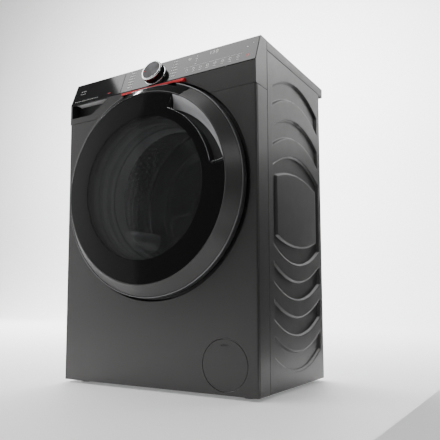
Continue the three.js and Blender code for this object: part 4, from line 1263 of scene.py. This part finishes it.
def filter_cap():
    """A ribbed bayonet cap with a raised grip bar."""
    plug = turned("cap_plug", [(0.01, 8.4), (26, 8.2, 1.5), (29, 10, 1.5), (29, 16, 0.5),
                                       (24.5, 16.4, 0.5), (24.5, 22), (0.01, 22)],
                  GREY, 288, ribs=36, rib_depth=0.7)
    bar = block("cap_bar", (-0.0235, 0.0235), (0.0038, 0.012), (-0.0048, 0.0048), GREY)
    parts = [smooth(plug, 45), bevelled(bar, 1.6, 4)]
    piece = moved(joined("filter_cap_turned", parts), at(FLAP_X, FRONT, FLAP_Z))
    fit(piece, "filter", "grey_plastic", "filter_cap")


def feet():
    """Rubber pads with a hexagon and a threaded stud."""
    for row in ("front", "rear"):
        for side in ("left", "right"):
            node = f"foot_{row}_{side}"
            a, b = low(node), high(node)
            x, y = (a.x + b.x) / 2, (a.y + b.y) / 2
            pad = turned("pad", [(0.01, 0), (18.4, 0, 0.6), (20, 1.4, 0.8), (20, 3.6, 1.2),
                                         (16.5, 6.2, 1.0), (0.01, 6.2)], RUBBER, 96, steps=3)
            nut = turned("nut", [(0.01, 6.2), (10.5, 6.2, 0.3), (10.5, 7.45, 0.3), (0.01, 7.45)],
                         ZINC, 6, steps=2)
            thread = [(4.9 if k % 2 else 4.2, 7.2 + 0.55 * k) for k in range(41)]
            stud = turned("stud", [(0.01, 7.2), *thread, (0.01, thread[-1][1])], ZINC, 28)
            foot = joined(f"{node}_threaded", [smooth(pad), smooth(nut, 25), smooth(stud, 20)])
            moved(foot, at(x, y, a.z) @ UPRIGHT)
            fit(foot, node, "black_rubber", node)


filter_flap()
filter_cap()
feet()


# Rear

REAR_RIBS = (110, 150, 190, 230)  # mm above the floor


def rear_panel():
    """Galvanised back sheet: a pressed ring, four cross ribs and a row of screws down each side."""
    a, b = low("rear_panel"), high("rear_panel")
    columns, rows = 118, 160
    points = []
    for j in range(rows + 1):
        z = a.z + (b.z - a.z) * j / rows
        for i in range(columns + 1):
            x = a.x + (b.x - a.x) * i / columns
            r = math.hypot(x, z - AXIS_Z) / MM
            ring = max(0.0, 1 - abs(r - 205) / 11)
            ribs = max(max(0.0, 1 - abs((z - level * MM) / (7 * MM))) if abs(x) < 0.2 and r > 225 else 0.0
                       for level in REAR_RIBS)
            t = min(1.0, max(ring, ribs))
            edge = 1.0 if min(i, columns - i, j, rows - j) == 0 else 0.0
            points.append((x, b.y - 0.0001 - 0.0032 * t * t * (3 - 2 * t) - 0.001 * edge, z))
    sheet = from_faces("rear_skin", points, grid_faces(columns, rows), ZINC)
    if sheet.data.polygons[0].normal.y < 0:
        sheet.data.flip_normals()
    smooth(thickened(sheet, 0.9, -1), 40, weighted=False)
    fit(sheet, "cabinet", "zinc_steel", "rear_panel")
    heads = []
    for x in (a.x + 0.009, b.x - 0.009):
        for k in range(6):
            heads.append((x, a.z + 0.03 + k * (b.z - a.z - 0.06) / 5))
    heads += [(x, a.z + 0.012) for x in (-0.15, 0, 0.15)]
    screws = []
    for x, z in heads:
        head = turned("screw", [(0.01, 2.2), (2.4, 1.9, 0.8), (3.8, 0.7, 0.3), (4.3, 0.7, 0.2),
                                        (4.3, 0), (0.01, 0)], ZINC, 18, steps=3)
        slot = block("slot", (-0.0024, 0.0024), (0.0012, 0.003), (-0.0004, 0.0004), ZINC)
        boolean(head, slot)
        screws.append(moved(smooth(head, 40), at(x, b.y - 0.0003, z)))
    fit(joined("rear_screws", screws), "cabinet", "zinc_steel")


def thread(radius, start, end, pitch=2.4, depth=1.1):
    """Outline of a screw thread's roots and flat crests, from its mouth inwards."""
    outline = []
    at = start
    while at > end:
        outline += [(radius - depth, at), (radius, at - 0.35 * pitch), (radius, at - 0.65 * pitch)]
        at -= pitch
    return outline


def at_back(piece, node, reach):
    """Moves a turned piece onto a fitting that stands `reach` mm out of the rear panel."""
    a, b = low(node), high(node)
    return moved(piece, at((a.x + b.x) / 2, b.y - reach * MM, (a.z + b.z) / 2))


def fittings():
    """The threaded inlet and its valve, the barbed drain spigot and the cable gland."""
    a, b = low("inlet_valve"), high("inlet_valve")
    body = bevelled(block("valve_body", (a.x, b.x), (a.y, b.y - 18 * MM), (a.z, b.z), WHITE), 3, 3)
    port = turned("valve_port", [(8, 12), (8, 15), (11.4, 15), *thread(13, 14.4, 3.6), (11.9, 2.4),
                                 (13, 1.8), (13, -5), (8, -5)], WHITE, 72)
    mesh_disc = turned("valve_filter", [(0.01, 4), (7.9, 4), (7.9, 3), (0.01, 3)], GREY, 48)
    valve = [at_back(smooth(p, 35, weighted=False), "inlet_valve", 15) for p in (port, mesh_disc)]
    fit(joined("inlet_valve_threaded", [body, *valve]), "cabinet", "white_plastic", "inlet_valve")
    barbs = [(12, 18.2), (10.9, 17.9), (12, 12.6), (10.9, 12.3), (12, 7), (10.9, 6.7)]
    spout = turned("drain_spigot", [(9.4, 22), (10.7, 22), *barbs, (10.9, -3), (20, -3), (20, -7.6),
                                    (9.4, -7.6)], BLACK, 72)
    at_back(smooth(spout, 35, weighted=False), "drain_outlet", 22)
    fit(spout, "cabinet", "black_plastic", "drain_outlet")
    nut = bevelled(turned("gland_nut", [(3.6, 5), (7.4, 5), (7.4, -3), (15, -3), (15, -7.6), (3.6, -7.6)],
                          BLACK, 6), 0.5, 2)
    dome = turned("gland_dome", [(3.4, 12, 0.3), (5.2, 12, 0.8), (6.3, 9, 0.8), (6.3, 4.6),
                                         (3.4, 4.6)], BLACK, 60)
    gland = [at_back(p, "cable_gland", 12) for p in (nut, smooth(dome, 35, weighted=False))]
    fit(joined("cable_gland_nut", gland), "cabinet", "black_plastic", "cable_gland")


rear_panel()
fittings()


# Springs and hose that stretch between the cabinet and the tub

SPRING_R, WIRE_R, TURNS = 10, 1.7, 6  # mm, mm
HOSE_R = 13  # mm, over its corrugations
HOSE_STOPS = ((212.5, 90, 123.8), (212.5, 90, 141.5), (202.5, 96, 165), (172.5, 120, 190), (112, 148, 215),
              (104, 152, 251.2))  # mm: x, depth behind the front face, z


def tube(name, route, radii, sides, side, material):
    """A round skin along a route of points."""
    sections = []
    for i, here in enumerate(route):
        ahead = (route[min(i + 1, len(route) - 1)] - route[max(i - 1, 0)]).normalized()
        side = (side - ahead * side.dot(ahead)).normalized()
        up = ahead.cross(side)
        turns = [2 * math.pi * k / sides for k in range(sides)]
        sections.append([here + (side * math.cos(a) + up * math.sin(a)) * radii[i] for a in turns])
    return smooth(loft(name, sections, material), 60, weighted=False)


def eased_route(stops, steps):
    """Catmull-Rom curve through the stops."""
    ends = [stops[0] * 2 - stops[1], *stops, stops[-1] * 2 - stops[-2]]
    route = []
    for i in range(1, len(ends) - 2):
        a, b, c, d = ends[i - 1:i + 3]
        for k in range(steps):
            t = k / steps
            route.append((b * 2 + (c - a) * t + (a * 2 - b * 5 + c * 4 - d) * t ** 2
                          + (b * 3 - a - c * 3 + d) * t ** 3) / 2)
    return [*route, stops[-1]]


def stretching(piece, node):
    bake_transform(piece)
    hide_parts(node)


def tub_spring(node):
    """A coil of even pitch from its foot to its top."""
    a, b = low(node), high(node)
    x, y = (a.x + b.x) / 2, (a.y + b.y) / 2
    foot, top = a.z + WIRE_R * MM, b.z - WIRE_R * MM
    steps = 28 * TURNS
    route = []
    for i in range(steps + 1):
        t = i / steps
        angle = 2 * math.pi * TURNS * t
        route.append(Vector((x + SPRING_R * MM * math.cos(angle), y + SPRING_R * MM * math.sin(angle),
                             foot + (top - foot) * t)))
    coil = tube(node + "_coil", route, [WIRE_R * MM * 0.98] * len(route), 10, Vector((0, 0, 1)), ZINC)
    stretching(coil, node)


def sump_hose():
    """A rubber hose, corrugated between its plain ends."""
    stops = [Vector((x * MM, deep(d), z * MM)) for x, d, z in HOSE_STOPS]
    route = eased_route(stops, 24)
    last = len(route) - 1
    radii = []
    for i in range(last + 1):
        plain = min(i, last - i) < 14
        radii.append((HOSE_R - (0.1 if plain else 0.9 * (1 - math.cos(i * math.pi / 3)))) * MM)
    hose = tube("sump_hose_corrugated", route, radii, 28, Vector((0, 1, 0)), RUBBER)
    stretching(hose, "sump_hose")


tub_spring("tub_spring_left")
tub_spring("tub_spring_right")
sump_hose()


# Looks of the CAD pieces that show as they are

KEPT = {
    "hinge_bracket": ZINC, "hinge_pin": STEEL, "door_lock": BLACK, "dispenser_housing": WHITE,
    "rear_bracket": ZINC,
    "base_pan": ZINC, "top_brace": ZINC, "tub_front": SEAL, "tub_rear": SEAL,
    "front_counterweight": CONCRETE,
    "heater": ZINC, "drum_bearing": ALLOY, "belt": RUBBER, "motor": ALLOY, "motor_pulley": ZINC,
    "drum_spider": ALLOY, "drum_pulley": ALLOY, "filter_housing": GREY, "drain_pump": BLACK,
    "control_module": BLACK,
    "damper_tube_left": BLACK, "damper_tube_right": BLACK, "damper_rod_left": ZINC, "damper_rod_right": ZINC,
}


def dress_kept():
    for item in bpy.data.objects:
        if item.type == "MESH" and item.name in KEPT:
            item.data.materials.clear()
            item.data.materials.append(KEPT[item.name])
            smooth(item, 30, weighted=False)


dress_kept()


# Floor, backdrop and light

def stage_set():
    """A pale floor that sweeps up into a pale wall behind the machine."""
    paper = surface("studio_floor", (0.92, 0.92, 0.92), (0.95, 0.95, 0.95), 0.6,
                    grain=40, tone=0.6, relief=0.0)
    glow = paper.node_tree.nodes["Principled BSDF"]
    glow.inputs["Emission Color"].default_value = (1, 1, 1, 1)
    glow.inputs["Emission Strength"].default_value = 0.16
    sweep = [(-5, 0)] + [(3.2 + 1.6 * math.sin(a), 1.6 * (1 - math.cos(a)))
                         for a in (math.radians(5 * k) for k in range(19))] + [(4.8, 7)]
    skin = [(x, y, z) for y, z in sweep for x in (-8, 6)]
    faces = [(2 * i, 2 * i + 1, 2 * i + 3, 2 * i + 2) for i in range(len(sweep) - 1)]
    smooth(from_faces("studio_sweep", skin, faces, paper), 60, weighted=False)
    felt = surface("black_felt", (0.006, 0.006, 0.006), (0.01, 0.01, 0.01), 0.9, grain=300, relief=0.2)
    for card in (block("dark_floor_card", (0.6, 3.2), (-0.6, 3.0), (0.0, 0.01), felt),
                 block("dark_wall_card", (0.7, 4.6), (2.2, 2.22), (0.0, 1.25), felt)):
        card.visible_camera = False
        card.visible_shadow = False


def graded_card(start, end, z0, z1, dim, bright):
    """A glowing upright card whose light grows from one end to the other."""
    material, nodes, links, shader = new_material("graded_card", {
        "Base Color": (0, 0, 0, 1), "Emission Color": (1, 1, 1, 1)})
    coordinate = nodes.new("ShaderNodeTexCoord")
    split = nodes.new("ShaderNodeSeparateXYZ")
    links.new(coordinate.outputs["Object"], split.inputs["Vector"])
    grade = nodes.new("ShaderNodeMapRange")
    grade.interpolation_type = "SMOOTHSTEP"
    grade.inputs["From Min"].default_value = start[1]
    grade.inputs["From Max"].default_value = end[1] - 0.4
    grade.inputs["To Min"].default_value = dim
    grade.inputs["To Max"].default_value = bright
    links.new(split.outputs["Y"], grade.inputs["Value"])
    links.new(grade.outputs["Result"], shader.inputs["Emission Strength"])
    corners = [(*start, z0), (*end, z0), (*end, z1), (*start, z1)]
    card = from_faces("graded_card", corners, [(0, 1, 2, 3)], material)
    card.visible_camera = False


def softbox(name, place, target, width, height, radiance):
    """An area light given by how bright its face looks."""
    data = bpy.data.lights.new(name, "AREA")
    data.shape = "RECTANGLE"
    data.size, data.size_y = width, height
    data.energy = radiance * math.pi * width * height
    lamp = bpy.data.objects.new(name, data)
    bpy.context.scene.collection.objects.link(lamp)
    lamp.location = place
    lamp.rotation_euler = (Vector(target) - Vector(place)).to_track_quat("-Z", "Y").to_euler()


def lights():
    world = bpy.data.worlds.new("studio")
    bpy.context.scene.world = world
    world.use_nodes = True
    world.node_tree.nodes["Background"].inputs["Color"].default_value = (1, 1, 1, 1)
    world.node_tree.nodes["Background"].inputs["Strength"].default_value = 0.16
    softbox("overhead", (-0.62, -1.2, 2.5), (-0.62, -1.0, 0), 1.9, 1.7, 4.6)
    softbox("right_rear", (1.7, 1.9, 2.5), (0.3, 0.1, 0.9), 1.6, 1.3, 3.4)
    softbox("right_front", (2.4, -1.5, 2.1), (0.3, -0.1, 0.8), 0.6, 0.8, 3.2)
    softbox("backdrop_wash", (-2.4, 1.4, 3.6), (-3.0, 4.6, 0.8), 5.0, 1.4, 44.0)
    softbox("drum_lamp", (0.14, FRONT + 0.105, AXIS_Z + 0.08), (-0.24, FRONT + 0.2, AXIS_Z), 0.05, 0.05, 60)
    graded_card((-2.7, -3.5), (-2.7, 0.4), 0.0, 2.8, 0.5, 2.7)


stage_set()
lights()
